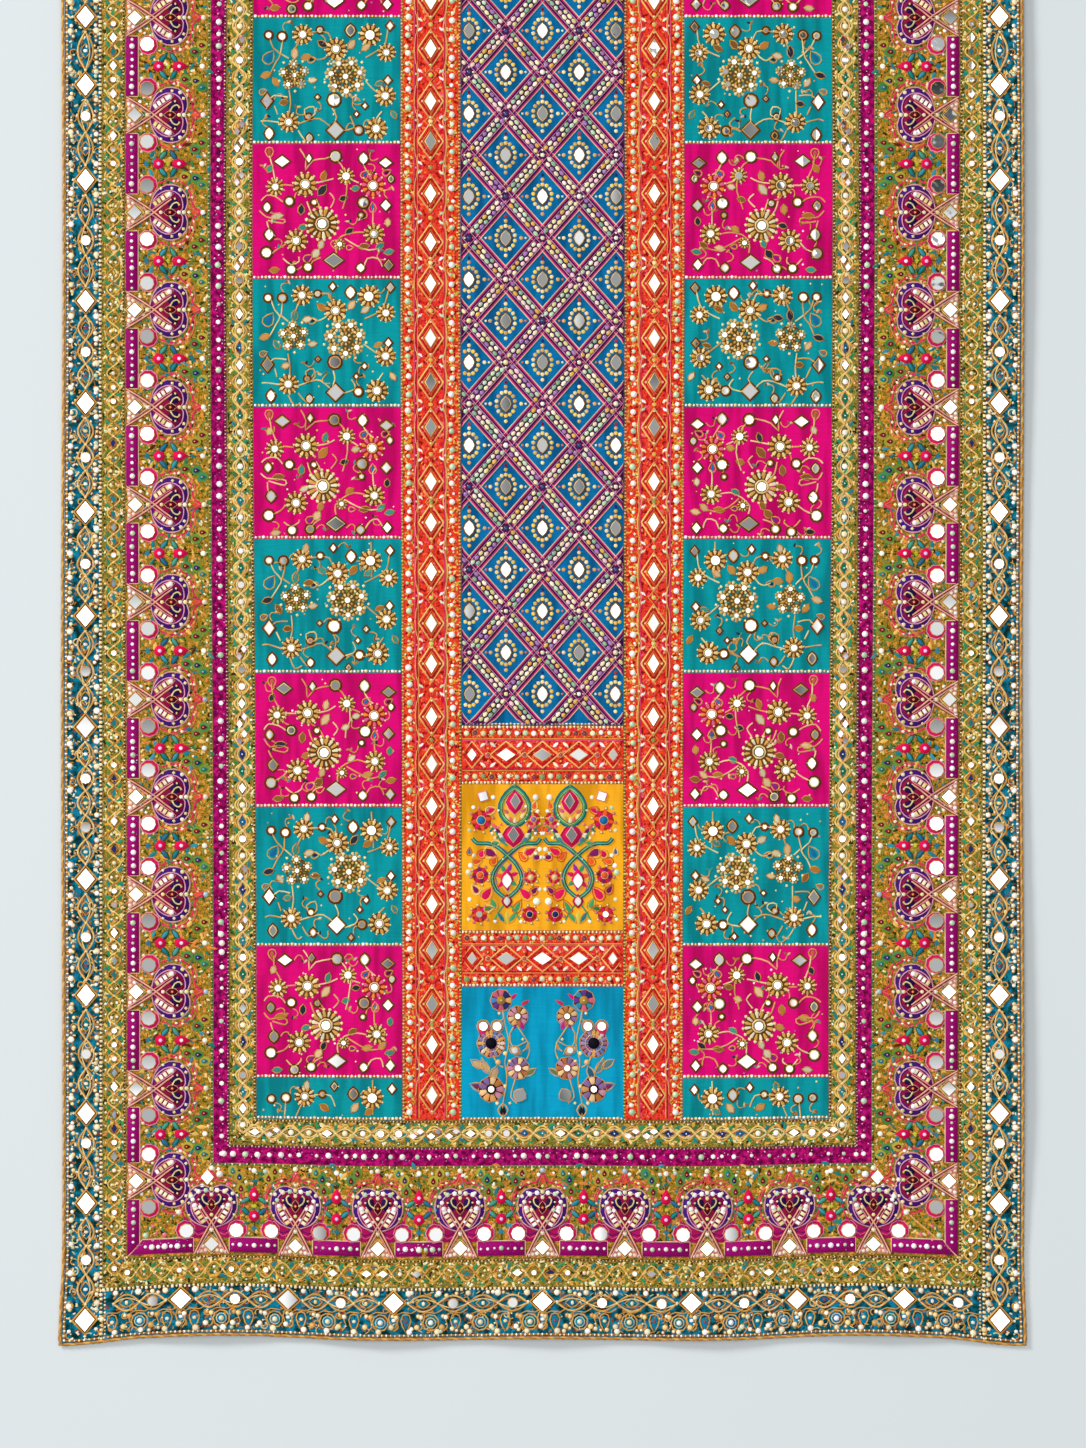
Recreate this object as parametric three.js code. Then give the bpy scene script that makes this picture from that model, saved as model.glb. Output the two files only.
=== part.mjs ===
// A mirror work dupatta: a long festive stole pieced from silk patches and embroidered strips, laid out flat.
// Millimetres, +Z up. The cloth is worked out in its own flat measure: u runs across it from the centre line,
// and v runs along it from the near hem. laid() gives the place of a cloth point as it lies on the ground.

import * as THREE from "three";

// The cloth.
const HALF_WIDTH = 481;
const WALL = 2; // silk, backing and couched thread together
const SEAM = 0.3; // what is left open between two pieces that are sewn together
const MITRE_GAP = 0.25; // how far a strip stops short of its mitred corner
const PIPING = { wide: 3.3, tall: 3, clear: 0.2 }; // a cord in a bias strip, held just off the ground

// The two columns of patches. The part patch at each end is cut short by the border.
const PATCH_LENGTHS = [132, 139, 134, 134, 132, 128, 135, 126, 136, 133, 137, 130, 135];
const PART_PATCH = 42;
const FIELD_START = 220; // from the hem to the end of the field
const FIELD_HALF = 290; // from the centre line to the outer edge of the patches
const ORANGE = { inner: 82, outer: 142 }; // edges of the long orange bands
const LENGTH = 2 * (FIELD_START + PART_PATCH) + PATCH_LENGTHS.reduce((sum, length) => sum + length, 0);

// The joint in the medallion border's corner bends between the two medallions there.
const CORNER_BENDS = [
  [364, 126],
  [356, 140],
];

// The frame's strips, from the hem inwards. side: distances from the centre line, end: from the hem.
const STRIPS = [
  { name: "teal_border", colour: 0x0a6f86, side: [477.5, 441], end: [3.5, 52.5] },
  { name: "outer_olive_band", colour: 0xa8963c, side: [441, 417.5], end: [52.5, 81] },
  { name: "medallion_border", colour: 0x9a8a3a, side: [417.5, 332], end: [81, 174.5], bends: CORNER_BENDS },
  { name: "magenta_band", colour: 0x9c0a6a, side: [332, 316.5], end: [174.5, 193] },
  { name: "inner_olive_band", colour: 0xa8963c, side: [316.5, 290], end: [193, 220] },
];

// The centre column, from the near field edge: lengths of its pieces. The lattice takes the rest.
const CENTRE = { blue: 133.5, cross: 56, yellow: 146.5, secondCross: 58.5 };

// How the laid cloth leaves its flat measure.
const FLARE = { by: 3.5, over: 90 }; // the corners stand out sideways
const DROP = { by: 6, from: 400 }; // and towards the hem
const BOW = { by: 4, at: 335, half: 150 }; // the hem bows in beside each corner
const RIPPLE = { by: 0.8, every: 283 }; // and ripples between them
const HEM_FADE = { from: 60, to: 330 }; // where the hem's shape dies out
const PULL = { by: 4, from: 350, to: 1150 }; // the field is drawn in towards its ends
const EDGE_WAVE = { by: 0.9, every: 870 };
const HEM_LIFT = { by: 5, over: 120, every: 167, steady: 0.65, farTurn: 1.9, corner: [405, 462] };
const EDGE_LIFT = { left: 2, right: 5, from: 425, every: 940, steady: 0.6, fade: [60, 260] };

// Mirrors and applique that stand up from the cloth.
const DIAMONDS_ALONG = [
  24, 137, 227, 345, 461, 613, 724, 828, 937, 1039, 1160, 1255, 1323, 1432, 1545, 1660, 1785, 1900, 2018,
  2118, 2231,
];
const DIAMONDS_ACROSS = [0, 151, 258, 364];
const MEDALLIONS = {
  side: 97.4,
  firstSide: 153.5,
  nudge: 4.5, // the first and last on each side stand off the corner by this much more
  end: 83.5,
  perEnd: 9,
  lozenge: { across: 17, outside: 14 }, // the mirror at the neck, and how far it is nearer the hem
  beside: { at: 27, across: 16, outside: 2 }, // the mirrors on both sides of the neck
  onSide: { long: 56, neck: 24.5, deep: 41.5 },
  onEnd: { long: 51, neck: 24.5, deep: 47 },
};
const LATTICE = { half: 36.8, rise: 41.45, firstCentre: 646, pocket: 0.67, sunk: 0.8 };
const LOZENGES = { every: 47.5, first: 245, sway: 4 };

const tau = 2 * Math.PI;
const { smoothstep } = THREE.MathUtils;

// The place of a cloth point and its height above the cloth's underside.
function laid(u, v, height) {
  const fromHem = Math.min(v, LENGTH - v);
  const inwards = v < LENGTH / 2 ? 1 : -1;
  const across = Math.abs(u);
  const out = Math.sign(u);
  const hem = 1 - smoothstep(fromHem, HEM_FADE.from, HEM_FADE.to);
  const beside = Math.max(0, 1 - Math.abs(across - BOW.at) / BOW.half);
  const bow = BOW.by * smoothstep(beside, 0, 1) + RIPPLE.by * Math.cos((tau * u) / RIPPLE.every);
  const corner = 1 - smoothstep(fromHem, 0, FLARE.over);
  const drop = DROP.by * smoothstep(across, DROP.from, HALF_WIDTH) * corner;
  const drawn = Math.min(across / FIELD_HALF, (HALF_WIDTH - across) / (HALF_WIDTH - FIELD_HALF));
  const pull = PULL.by * Math.max(0, drawn) * (1 - smoothstep(fromHem, PULL.from, PULL.to));
  const edge = smoothstep(across, STRIPS[0].side[1], HALF_WIDTH); // the inner strips lie straight
  const flare = FLARE.by * edge * corner;
  const wave = EDGE_WAVE.by * edge * Math.sin((tau * v) / EDGE_WAVE.every) * (1 - corner);
  return new THREE.Vector3(
    u + out * (flare - pull) + wave,
    v - LENGTH / 2 + inwards * (bow * hem - drop),
    height + lift(u, v, fromHem, across),
  );
}

// How far the cloth's underside stands off the ground: a little along the hems and the long edges, and not
// at the corners.
function lift(u, v, fromHem, across) {
  const held = 1 - smoothstep(across, ...HEM_LIFT.corner);
  const turn = (tau * u) / HEM_LIFT.every + (v > LENGTH / 2 ? HEM_LIFT.farTurn : 0);
  const swell = HEM_LIFT.steady + (1 - HEM_LIFT.steady) * Math.cos(turn);
  const atHem = HEM_LIFT.by * (1 - smoothstep(fromHem, 0, HEM_LIFT.over)) * held * swell;
  const most = u < 0 ? EDGE_LIFT.left : EDGE_LIFT.right;
  const along = EDGE_LIFT.steady + (1 - EDGE_LIFT.steady) * Math.sin((tau * v) / EDGE_LIFT.every);
  const beside = smoothstep(across, EDGE_LIFT.from, HALF_WIDTH) * smoothstep(fromHem, ...EDGE_LIFT.fade);
  return atHem + most * beside * along;
}

// The laid place seen from above, bowed by a hair: points in one line would be left out of the faces.
const HAIR = 1e-6;
const plan = ([u, v]) => {
  const { x, y } = laid(u, v, 0);
  return new THREE.Vector2(x + HAIR * y * y, y + HAIR * x * x);
};

const anticlockwise = (outline) =>
  THREE.ShapeUtils.area(outline.map(plan)) > 0 ? outline : [...outline].reverse();

// Fills the first ring, less the others, with faces that look up, or down for the underside.
function fill(faces, rings, place, up = true) {
  const flat = rings.map((ring) => ring.map(plan));
  const points = rings.flat();
  const corners = flat.flat();
  for (const triple of THREE.ShapeUtils.triangulateShape(flat[0], flat.slice(1))) {
    const looksUp = THREE.ShapeUtils.area(triple.map((i) => corners[i])) > 0;
    const turned = looksUp === up ? triple : [...triple].reverse();
    faces.push(...turned.map((i) => place(points[i])));
  }
}

// Joins two rings of the same points, the second above or inside the first.
function skirt(faces, ring, next, low, high) {
  ring.forEach((a, i) => {
    const j = (i + 1) % ring.length;
    const quad = [low(a), low(ring[j]), high(next[j]), high(next[i])];
    faces.push(quad[0], quad[1], quad[2], quad[0], quad[2], quad[3]);
  });
}

// A piece of the outer face with the bosses on it. A boss climbs, or sinks, in steps towards its middle, and
// may hold bosses of its own.
function outerFace(faces, outline, bosses, height) {
  const turned = bosses.map((boss) => ({ ...boss, outline: anticlockwise(boss.outline) }));
  const at = (rise) => (p) => laid(...p, height(p) + rise);
  fill(faces, [outline, ...turned.map((boss) => boss.outline)], at(0));
  for (const { outline: foot, middle, steps, on = [] } of turned) {
    let ring = foot;
    let rise = 0;
    for (const step of steps) {
      const next = foot.map(([u, v]) => [
        middle[0] + (u - middle[0]) * step.scale,
        middle[1] + (v - middle[1]) * step.scale,
      ]);
      skirt(faces, ring, next, at(rise), at(step.rise));
      ring = next;
      rise = step.rise;
    }
    outerFace(faces, ring, on, (p) => height(p) + rise);
  }
}

// A piece of cloth: a closed wall over cells that lie side by side, plain below and with its relief above.
function cloth(name, colour, cells, relief = () => 0) {
  const faces = [];
  const free = new Map(); // cell edges with no cell on their other side
  const key = (a, b) => [...a, ...b].map((n) => n.toFixed(3)).join();
  for (const cell of cells) {
    const outline = anticlockwise(cell.outline);
    outerFace(faces, outline, cell.bosses ?? [], (p) => WALL + relief(...p));
    fill(faces, [outline], (p) => laid(...p, 0), false);
    outline.forEach((a, i) => {
      const b = outline[(i + 1) % outline.length];
      if (!free.delete(key(b, a))) free.set(key(a, b), [a, b]);
    });
  }
  for (const [a, b] of free.values()) {
    const under = [a, b].map((p) => laid(...p, 0));
    const over = [a, b].map((p) => laid(...p, WALL + relief(...p)));
    faces.push(under[0], under[1], over[1], under[0], over[1], over[0]);
  }
  return piece(name, colour, faces);
}

function piece(name, colour, faces) {
  const geometry = new THREE.BufferGeometry().setFromPoints(faces);
  geometry.computeVertexNormals();
  const material = new THREE.MeshStandardMaterial({ color: colour, roughness: 0.7, metalness: 0 });
  const mesh = new THREE.Mesh(geometry, material);
  mesh.name = name;
  return mesh;
}

// Foot outlines of bosses, about their own middle.
const lozenge = (wide, long) => [
  [wide / 2, 0],
  [0, long / 2],
  [-wide / 2, 0],
  [0, -long / 2],
];
const round = (wide, long, sides) =>
  Array.from({ length: sides }, (_, i) => {
    const turn = (tau * (i + 0.5)) / sides;
    return [(wide / 2) * Math.cos(turn), (long / 2) * Math.sin(turn)];
  });

// A boss on a strip. s runs along the strip and b across it; place turns both into (u, v).
const boss = (place, s, b, foot, steps) => ({
  s,
  middle: place(s, b),
  outline: foot.map(([ds, db]) => place(s + ds, b + db)),
  steps,
});
const mirror = (place, s, b, foot, top = 0.72, rise = 1.5) => boss(place, s, b, foot, [{ scale: top, rise }]);

// The cells of a strip between two lines of (s, b) points, which end it. The first points of the lines end
// one long edge and the last points end the other. It is cut into cells at stations, and its edges bend at
// knots too.
function stripCells({ start, finish, stations, knots = [], place, bosses = [] }) {
  const [first, last] = [Math.max(...start.map(([s]) => s)), Math.min(...finish.map(([s]) => s))];
  const inner = stations.filter((s) => s > first + 10 && s < last - 10);
  const cuts = [start[0][0], ...inner, finish[0][0]];
  const farCuts = [start.at(-1)[0], ...inner, finish.at(-1)[0]];
  const limits = [-Infinity, ...inner, Infinity];
  const edge = (from, to, b) => {
    const bends = knots.filter((s) => s > from + 1 && s < to - 1);
    return [from, ...bends, to].map((s) => [s, b]);
  };
  return limits.slice(1).map((end, i) => {
    const one = edge(cuts[i], cuts[i + 1], start[0][1]);
    const other = edge(farCuts[i], farCuts[i + 1], start.at(-1)[1]).reverse();
    const closing = end === Infinity ? finish.slice(1, -1) : [];
    const opening = i === 0 ? start.slice(1, -1).reverse() : [];
    return {
      outline: [...one, ...closing, ...other, ...opening].map(([s, b]) => place(s, b)),
      bosses: bosses.filter(({ s }) => s > limits[i] && s < end),
    };
  });
}

const seamed = ([b0, b1]) => [b0 + (Math.sign(b1 - b0) * SEAM) / 2, b1 - (Math.sign(b1 - b0) * SEAM) / 2];
const range = (count, value) => Array.from({ length: count }, (_, i) => value(i));
const between = (places) => places.slice(1).map((place, i) => (place + places[i]) / 2);
const SIDES = { left: (s, b) => [-b, s], right: (s, b) => [b, s] };
const ENDS = { near: (s, b) => [s, b], far: (s, b) => [s, LENGTH - b] };

// A medallion: an onion-shaped velvet applique with its neck to the hem, a lozenge mirror at the neck and a
// round mirror on each side. It stands on a strip's hem edge, and inwards says which way it reaches.
function medallion(place, s, edge, inwards, { long, neck, deep }) {
  const onion = [
    [0, 0],
    [0.72, 0.22],
    [1, 0.53],
    [0.66, 0.83],
    [0, 1],
    [-0.66, 0.83],
    [-1, 0.53],
    [-0.72, 0.22],
  ].map(([ds, db]) => [(ds * long) / 2, inwards * (db - 0.5) * deep]);
  const { lozenge: front, beside } = MEDALLIONS;
  const frontMirror = lozenge(front.across, front.across);
  const sideMirror = round(beside.across, beside.across, 4);
  const sideEdge = edge + inwards * (neck - beside.outside);
  return [
    boss(place, s, edge + inwards * (neck + deep / 2), onion, [{ scale: 0.93, rise: 1.2 }]),
    mirror(place, s, edge + inwards * (neck - front.outside), frontMirror),
    ...[-1, 1].map((side) => mirror(place, s + side * beside.at, sideEdge, sideMirror)),
  ];
}

const sideMedallions = 1 + Math.round((LENGTH - 2 * MEDALLIONS.firstSide) / MEDALLIONS.side);
const alongSide = range(sideMedallions, (i) => {
  const nudge = (i === 0) - (i === sideMedallions - 1);
  return MEDALLIONS.firstSide + MEDALLIONS.side * i + MEDALLIONS.nudge * nudge;
});
const alongEnd = range(MEDALLIONS.perEnd, (i) => MEDALLIONS.end * (i - (MEDALLIONS.perEnd - 1) / 2));
const endDiamonds = [...DIAMONDS_ACROSS.slice(1).map((u) => -u).reverse(), ...DIAMONDS_ACROSS];
const KNOTS = range(21, (i) => (MEDALLIONS.end / 2) * (i - 10));
const everySecond = (places) => places.filter((_, i) => i % 2);

// What stands on each strip that is more than flat needlework, along a side or an end.
const STRIP_BOSSES = {
  teal_border: {
    side: (place) => DIAMONDS_ALONG.map((s) => mirror(place, s, 457, lozenge(26, 22))),
    end: (place) => endDiamonds.map((s) => mirror(place, s, 38, lozenge(23, 23))),
  },
  medallion_border: {
    side: (place, edge) => alongSide.flatMap((s) => medallion(place, s, edge, -1, MEDALLIONS.onSide)),
    end: (place, edge) => alongEnd.flatMap((s) => medallion(place, s, edge, 1, MEDALLIONS.onEnd)),
  },
};
const STRIP_STATIONS = {
  teal_border: {
    side: between(DIAMONDS_ALONG),
    end: [-7, -5, -2, 2, 5, 7].map((i) => (i * MEDALLIONS.end) / 2),
  },
  medallion_border: { side: between(alongSide), end: between(alongEnd) },
};
const PLAIN_STATIONS = { side: everySecond(between(alongSide)), end: everySecond(between(alongEnd)) };

function frameStrips() {
  return STRIPS.flatMap(({ name, colour, side, end, bends = [] }) => {
    // The teal strips of the long sides run through to the hems. The other strips meet in mitred corners.
    const through = name === "teal_border";
    const bs = { side: seamed(side), end: seamed(end) };
    const stations = STRIP_STATIONS[name] ?? PLAIN_STATIONS;
    const corner = [[side[0], end[0]], ...bends, [side[1], end[1]]];
    const bAt = (which, i, b) => (i === 0 ? bs[which][0] : i === corner.length - 1 ? bs[which][1] : b);
    const joints = {
      side: corner.map(([u, v], i) => [through ? end[0] : v + MITRE_GAP, bAt("side", i, u)]),
      end: corner.map(([u, v], i) => [through ? side[1] - SEAM / 2 : u - MITRE_GAP, bAt("end", i, v)]),
    };
    const make = (where, place, which, start, finish, knots) =>
      cloth(
        `${where}_${name}`,
        colour,
        stripCells({
          start,
          finish,
          stations: stations[which],
          knots,
          place,
          bosses: STRIP_BOSSES[name]?.[which](place, (which === "side" ? side : end)[0]) ?? [],
        }),
      );
    const sides = Object.entries(SIDES).map(([where, place]) =>
      make(where, place, "side", joints.side, joints.side.map(([s, b]) => [LENGTH - s, b]), []),
    );
    const ends = Object.entries(ENDS).map(([where, place]) =>
      make(where, place, "end", joints.end.map(([s, b]) => [-s, b]), joints.end, KNOTS),
    );
    return [...sides, ...ends];
  });
}

// The silk patches. a runs across a patch from its middle, away from the cloth's long edge, and b along it.
const PATCH_COLUMNS = [-16.5, 31];
const PATCH_ROWS = [-32, 25];
const PATCH_COLOURS = { teal: 0x0a8a96, pink: 0xd8006e };
const PATCH_BOSSES = {
  teal: [
    { a: 48, b: 45, wide: 18, long: 16, sides: 4 },
    { a: 19, b: 5, wide: 22, long: 22, sides: 6 },
  ],
  pink: [
    { a: 6, b: -49, wide: 23, long: 19, sides: 4 },
    { a: -6, b: -12, wide: 20, long: 20, sides: 6 },
  ],
};
const PUCKER = { by: 0.9, every: 48 };

function patchColumn(where) {
  const out = where === "left" ? -1 : 1;
  const middle = (FIELD_HALF + ORANGE.outer) / 2;
  const half = (FIELD_HALF - ORANGE.outer - SEAM) / 2;
  const lengths = [PART_PATCH, ...PATCH_LENGTHS, PART_PATCH];
  let start = FIELD_START;
  return lengths.map((length, i) => {
    const whole = length > PART_PATCH;
    const kind = i % 2 ? "pink" : "teal";
    const halfLength = (length - SEAM) / 2;
    const centre = start + length / 2;
    start += length;
    const place = (a, b) => [out * (middle - a), centre + b];
    const as = [-half, ...PATCH_COLUMNS, half];
    const bs = [-halfLength, ...(whole ? PATCH_ROWS : []), halfLength];
    const bosses = (whole ? PATCH_BOSSES[kind] : []).map(({ a, b, wide, long, sides }) => ({
      a,
      b,
      ...mirror(place, a, b, sides === 4 ? lozenge(wide, long) : round(wide, long, sides)),
    }));
    const cells = as.slice(1).flatMap((a1, column) =>
      bs.slice(1).map((b1, row) => {
        const [a0, b0] = [as[column], bs[row]];
        return {
          outline: [place(a0, b0), place(a1, b0), place(a1, b1), place(a0, b1)],
          bosses: bosses.filter(({ a, b }) => a > a0 && a < a1 && b > b0 && b < b1),
        };
      }),
    );
    // The silk puckers between its seams.
    const relief = (u, v) => {
      const a = (middle - out * u) / half;
      const b = (v - centre) / halfLength;
      const free = Math.max(0, (1 - a * a) * (1 - b * b));
      return PUCKER.by * free * (0.4 + 0.6 * Math.cos((tau * a * half) / PUCKER.every + i));
    };
    return cloth(`${where}_patch_${String(i + 1).padStart(2, "0")}`, PATCH_COLOURS[kind], cells, relief);
  });
}

// The orange bands: a row of lozenge mirrors down the middle of each.
const ORANGE_COLOUR = 0xe0492a;
const bandLozenge = (place, s, b) => mirror(place, s, b, lozenge(33, 22), 0.52);

function orangeBands() {
  const from = FIELD_START + SEAM / 2;
  const to = LENGTH - FIELD_START - SEAM / 2;
  const count = 1 + Math.floor((to - LOZENGES.first - 20) / LOZENGES.every);
  const along = range(count, (i) => LOZENGES.first + LOZENGES.every * i + LOZENGES.sway * Math.sin(2.3 * i));
  const middle = (ORANGE.inner + ORANGE.outer) / 2;
  const edges = seamed([ORANGE.inner, ORANGE.outer]);
  return Object.entries(SIDES).map(([where, place]) =>
    cloth(
      `${where}_orange_band`,
      ORANGE_COLOUR,
      stripCells({
        start: edges.map((b) => [from, b]),
        finish: edges.map((b) => [to, b]),
        stations: between(along).filter((_, i) => i % 4 === 3),
        place,
        bosses: along.map((s) => bandLozenge(place, s, middle)),
      }),
    ),
  );
}

// The centre column: a blue patch, a cross band, a yellow patch, a cross band and the long lattice panel.
const BLUE_FLOWERS = [
  { u: 42.5, v: 52, across: 21 },
  { u: 25, v: 35, across: 20 },
  { u: 52, v: 9, across: 28 },
  { u: 26, v: -14, across: 22 },
  { u: 51, v: -37, across: 25 },
];
const YELLOW_BUDS = [
  { u: 30, v: 51, wide: 31, long: 40 },
  { u: 30, v: 22, wide: 24, long: 17 },
  { u: 37, v: -22, wide: 30, long: 44 },
];

function centrePatch(name, colour, start, length, feet) {
  const half = ORANGE.inner - SEAM / 2;
  const middle = start + length / 2;
  const reach = (length - SEAM) / 2;
  const cells = [-1, 1].map((out) => {
    const place = (s, b) => [out * s, middle + b];
    return {
      outline: [place(0, -reach), place(half, -reach), place(half, reach), place(0, reach)],
      bosses: feet.map(({ u, v, foot }) => boss(place, u, v, foot, [{ scale: 0.8, rise: 1 }])),
    };
  });
  return cloth(name, colour, cells);
}

function crossBand(name, start, length) {
  const place = (s, b) => [s, b];
  const reach = ORANGE.inner - SEAM / 2;
  const along = [-1, 0, 1].map((i) => i * LATTICE.half);
  const edges = seamed([start, start + length]);
  return cloth(
    name,
    ORANGE_COLOUR,
    stripCells({
      start: edges.map((b) => [-reach, b]),
      finish: edges.map((b) => [reach, b]),
      stations: between(along),
      place,
      bosses: along.map((s) => mirror(place, s, start + length / 2, lozenge(23, 22), 0.55)),
    }),
  );
}

// Cuts a convex outline to where keep, a distance that is positive inside, allows.
function trimmed(outline, keep) {
  return outline.flatMap((p, i) => {
    const q = outline[(i + 1) % outline.length];
    const [kp, kq] = [keep(p), keep(q)];
    const cut = kp / (kp - kq);
    const crossing = kp * kq < 0 ? [[p[0] + (q[0] - p[0]) * cut, p[1] + (q[1] - p[1]) * cut]] : [];
    return kp >= 0 ? [p, ...crossing] : crossing;
  });
}

function latticePanel(start) {
  const half = ORANGE.inner - SEAM / 2;
  const from = start + SEAM / 2;
  const to = LENGTH - FIELD_START - SEAM / 2;
  const inside = (outline, margin) =>
    [
      ([u]) => half - margin - u,
      ([u]) => half - margin + u,
      ([, v]) => v - from - margin,
      ([, v]) => to - margin - v,
    ].reduce(trimmed, outline);
  const rhombus = (u, v, scale) =>
    lozenge(2 * LATTICE.half * scale, 2 * LATTICE.rise * scale).map(([du, dv]) => [u + du, v + dv]);
  const oval = (u, v) => {
    const outline = lozenge(13, 19).map(([du, dv]) => [u + du, v + dv]);
    return { middle: [u, v], outline, steps: [{ scale: 0.75, rise: 1.5 }] };
  };
  const rows = Math.ceil((to - LATTICE.firstCentre) / LATTICE.rise) + 2;
  const cells = range(rows, (i) => i - 1).flatMap((row) =>
    [-3, -2, -1, 0, 1, 2, 3].flatMap((column) => {
      if ((row + column) % 2) return [];
      const [u, v] = [column * LATTICE.half, LATTICE.firstCentre + row * LATTICE.rise];
      const outline = inside(rhombus(u, v, 1), 0);
      if (outline.length < 3) return [];
      const pocket = inside(rhombus(u, v, LATTICE.pocket), 1);
      const roomy = pocket.length > 3;
      const whole = Math.abs(u) + 6 < half - 1 && v - from > 12 && to - v > 12;
      const sunk = { middle: [u, v], outline: pocket, steps: [{ scale: 0.98, rise: -LATTICE.sunk }] };
      return [{ outline, bosses: roomy ? [{ ...sunk, on: whole ? [oval(u, v)] : [] }] : [] }];
    }),
  );
  return cloth("lattice_panel", 0x0a74b4, cells);
}

function centreColumn() {
  const flowers = BLUE_FLOWERS.map(({ u, v, across }) => ({ u, v, foot: round(across, across, 6) }));
  const buds = YELLOW_BUDS.map(({ u, v, wide, long }) => ({ u, v, foot: round(wide, long, 8) }));
  const crossStart = FIELD_START + CENTRE.blue;
  const yellowStart = crossStart + CENTRE.cross;
  const secondStart = yellowStart + CENTRE.yellow;
  return [
    centrePatch("blue_flower_patch", 0x0f86b8, FIELD_START, CENTRE.blue, flowers),
    crossBand("near_cross_band", crossStart, CENTRE.cross),
    centrePatch("yellow_tree_patch", 0xe8a317, yellowStart, CENTRE.yellow, buds),
    crossBand("middle_cross_band", secondStart, CENTRE.secondCross),
    latticePanel(secondStart + CENTRE.secondCross),
  ];
}

// The piping all round the edge, one strip with its ends joined.
function edgePiping() {
  const section = [
    { inset: 0.3, height: 0 },
    { inset: 0, height: 0.6 },
    { inset: 0.6, height: 1 },
    { inset: 1, height: 0.1 },
  ];
  const vs = [0, ...between(DIAMONDS_ALONG), LENGTH];
  const cornerSeam = STRIPS[0].side[1];
  const us = [-HALF_WIDTH, -cornerSeam, ...KNOTS, cornerSeam, HALF_WIDTH];
  const loop = [
    ...us.map((u) => [u, 0]),
    ...vs.slice(1).map((v) => [HALF_WIDTH, v]),
    ...us.slice(0, -1).reverse().map((u) => [u, LENGTH]),
    ...vs.slice(1, -1).reverse().map((v) => [-HALF_WIDTH, v]),
  ];
  const tube = loop.map(([u, v]) =>
    section.map(({ inset, height }) => {
      const inwards = inset * PIPING.wide;
      const su = Math.abs(u) === HALF_WIDTH ? u - Math.sign(u) * inwards : u;
      const sv = v === 0 ? inwards : v === LENGTH ? LENGTH - inwards : v;
      return laid(su, sv, PIPING.clear + height * (PIPING.tall - PIPING.clear));
    }),
  );
  const faces = [];
  tube.forEach((ring, i) => {
    const next = tube[(i + 1) % tube.length];
    ring.forEach((a, k) => {
      const m = (k + 1) % ring.length;
      faces.push(a, next[k], next[m], a, next[m], ring[m]);
    });
  });
  return piece("edge_piping", 0xc99a4b, faces);
}

const dupatta = new THREE.Group();
dupatta.add(
  ...frameStrips(),
  ...patchColumn("left"),
  ...patchColumn("right"),
  ...orangeBands(),
  ...centreColumn(),
  edgePiping(),
);
export default dupatta;
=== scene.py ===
# The dressed mirror work dupatta: silk pieces and needlework bands laid flat and sewn edge to edge, with set
# mirrors, beads and couched thread. Sizes are millimetres of the flat cloth until a mesh is made from them:
# u runs across the cloth from its centre line and v runs along it from the near hem.
import math
import random

import bmesh
import bpy
import numpy as np
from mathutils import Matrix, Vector


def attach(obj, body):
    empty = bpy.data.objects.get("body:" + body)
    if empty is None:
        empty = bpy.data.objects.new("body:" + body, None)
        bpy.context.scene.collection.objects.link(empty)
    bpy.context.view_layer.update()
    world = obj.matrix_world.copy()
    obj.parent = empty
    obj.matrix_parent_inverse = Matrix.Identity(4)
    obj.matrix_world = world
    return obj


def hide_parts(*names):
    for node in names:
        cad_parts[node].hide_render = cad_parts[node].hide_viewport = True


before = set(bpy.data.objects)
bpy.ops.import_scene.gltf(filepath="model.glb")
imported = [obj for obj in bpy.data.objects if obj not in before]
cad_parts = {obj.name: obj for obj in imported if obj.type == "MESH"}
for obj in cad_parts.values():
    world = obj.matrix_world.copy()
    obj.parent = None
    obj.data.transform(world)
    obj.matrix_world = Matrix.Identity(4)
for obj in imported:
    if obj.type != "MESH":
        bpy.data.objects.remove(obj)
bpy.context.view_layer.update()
chance = random.Random(41)
pick, vary = chance.choice, chance.uniform

# The camera looks straight down on the near part of the cloth through a long lens.
VIEW_LENGTH = 1.448
VIEW_CENTRE = (0.0005, -0.5115)
CAMERA_HEIGHT = 12.0
camera_data = bpy.data.cameras.new("camera")
camera = bpy.data.objects.new("camera", camera_data)
bpy.context.scene.collection.objects.link(camera)
camera.location = (*VIEW_CENTRE, CAMERA_HEIGHT)
camera_data.sensor_width = 36
camera_data.lens = camera_data.sensor_width * CAMERA_HEIGHT / VIEW_LENGTH
camera_data.clip_end = 60
bpy.context.scene.camera = camera
bpy.context.scene.view_settings.view_transform = "Standard"

# A pale floor, one broad soft light from the upper left and an even pale room.
FLOOR_HALF, FLOOR_HEIGHT = 6, -0.0004
bm = bmesh.new()
bmesh.ops.create_grid(bm, x_segments=1, y_segments=1, size=FLOOR_HALF)
bmesh.ops.translate(bm, verts=bm.verts, vec=(0, 0, FLOOR_HEIGHT))
floor_mesh = bpy.data.meshes.new("floor")
bm.to_mesh(floor_mesh)
bm.free()
floor = bpy.data.objects.new("floor", floor_mesh)
bpy.context.scene.collection.objects.link(floor)
floor_finish = bpy.data.materials.new("pale_floor")
floor_finish.use_nodes = True
floor_shader = floor_finish.node_tree.nodes["Principled BSDF"]
floor_shader.inputs["Base Color"].default_value = (0.66, 0.70, 0.71, 1)
floor_shader.inputs["Roughness"].default_value = 0.9
floor_mesh.materials.append(floor_finish)

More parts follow.
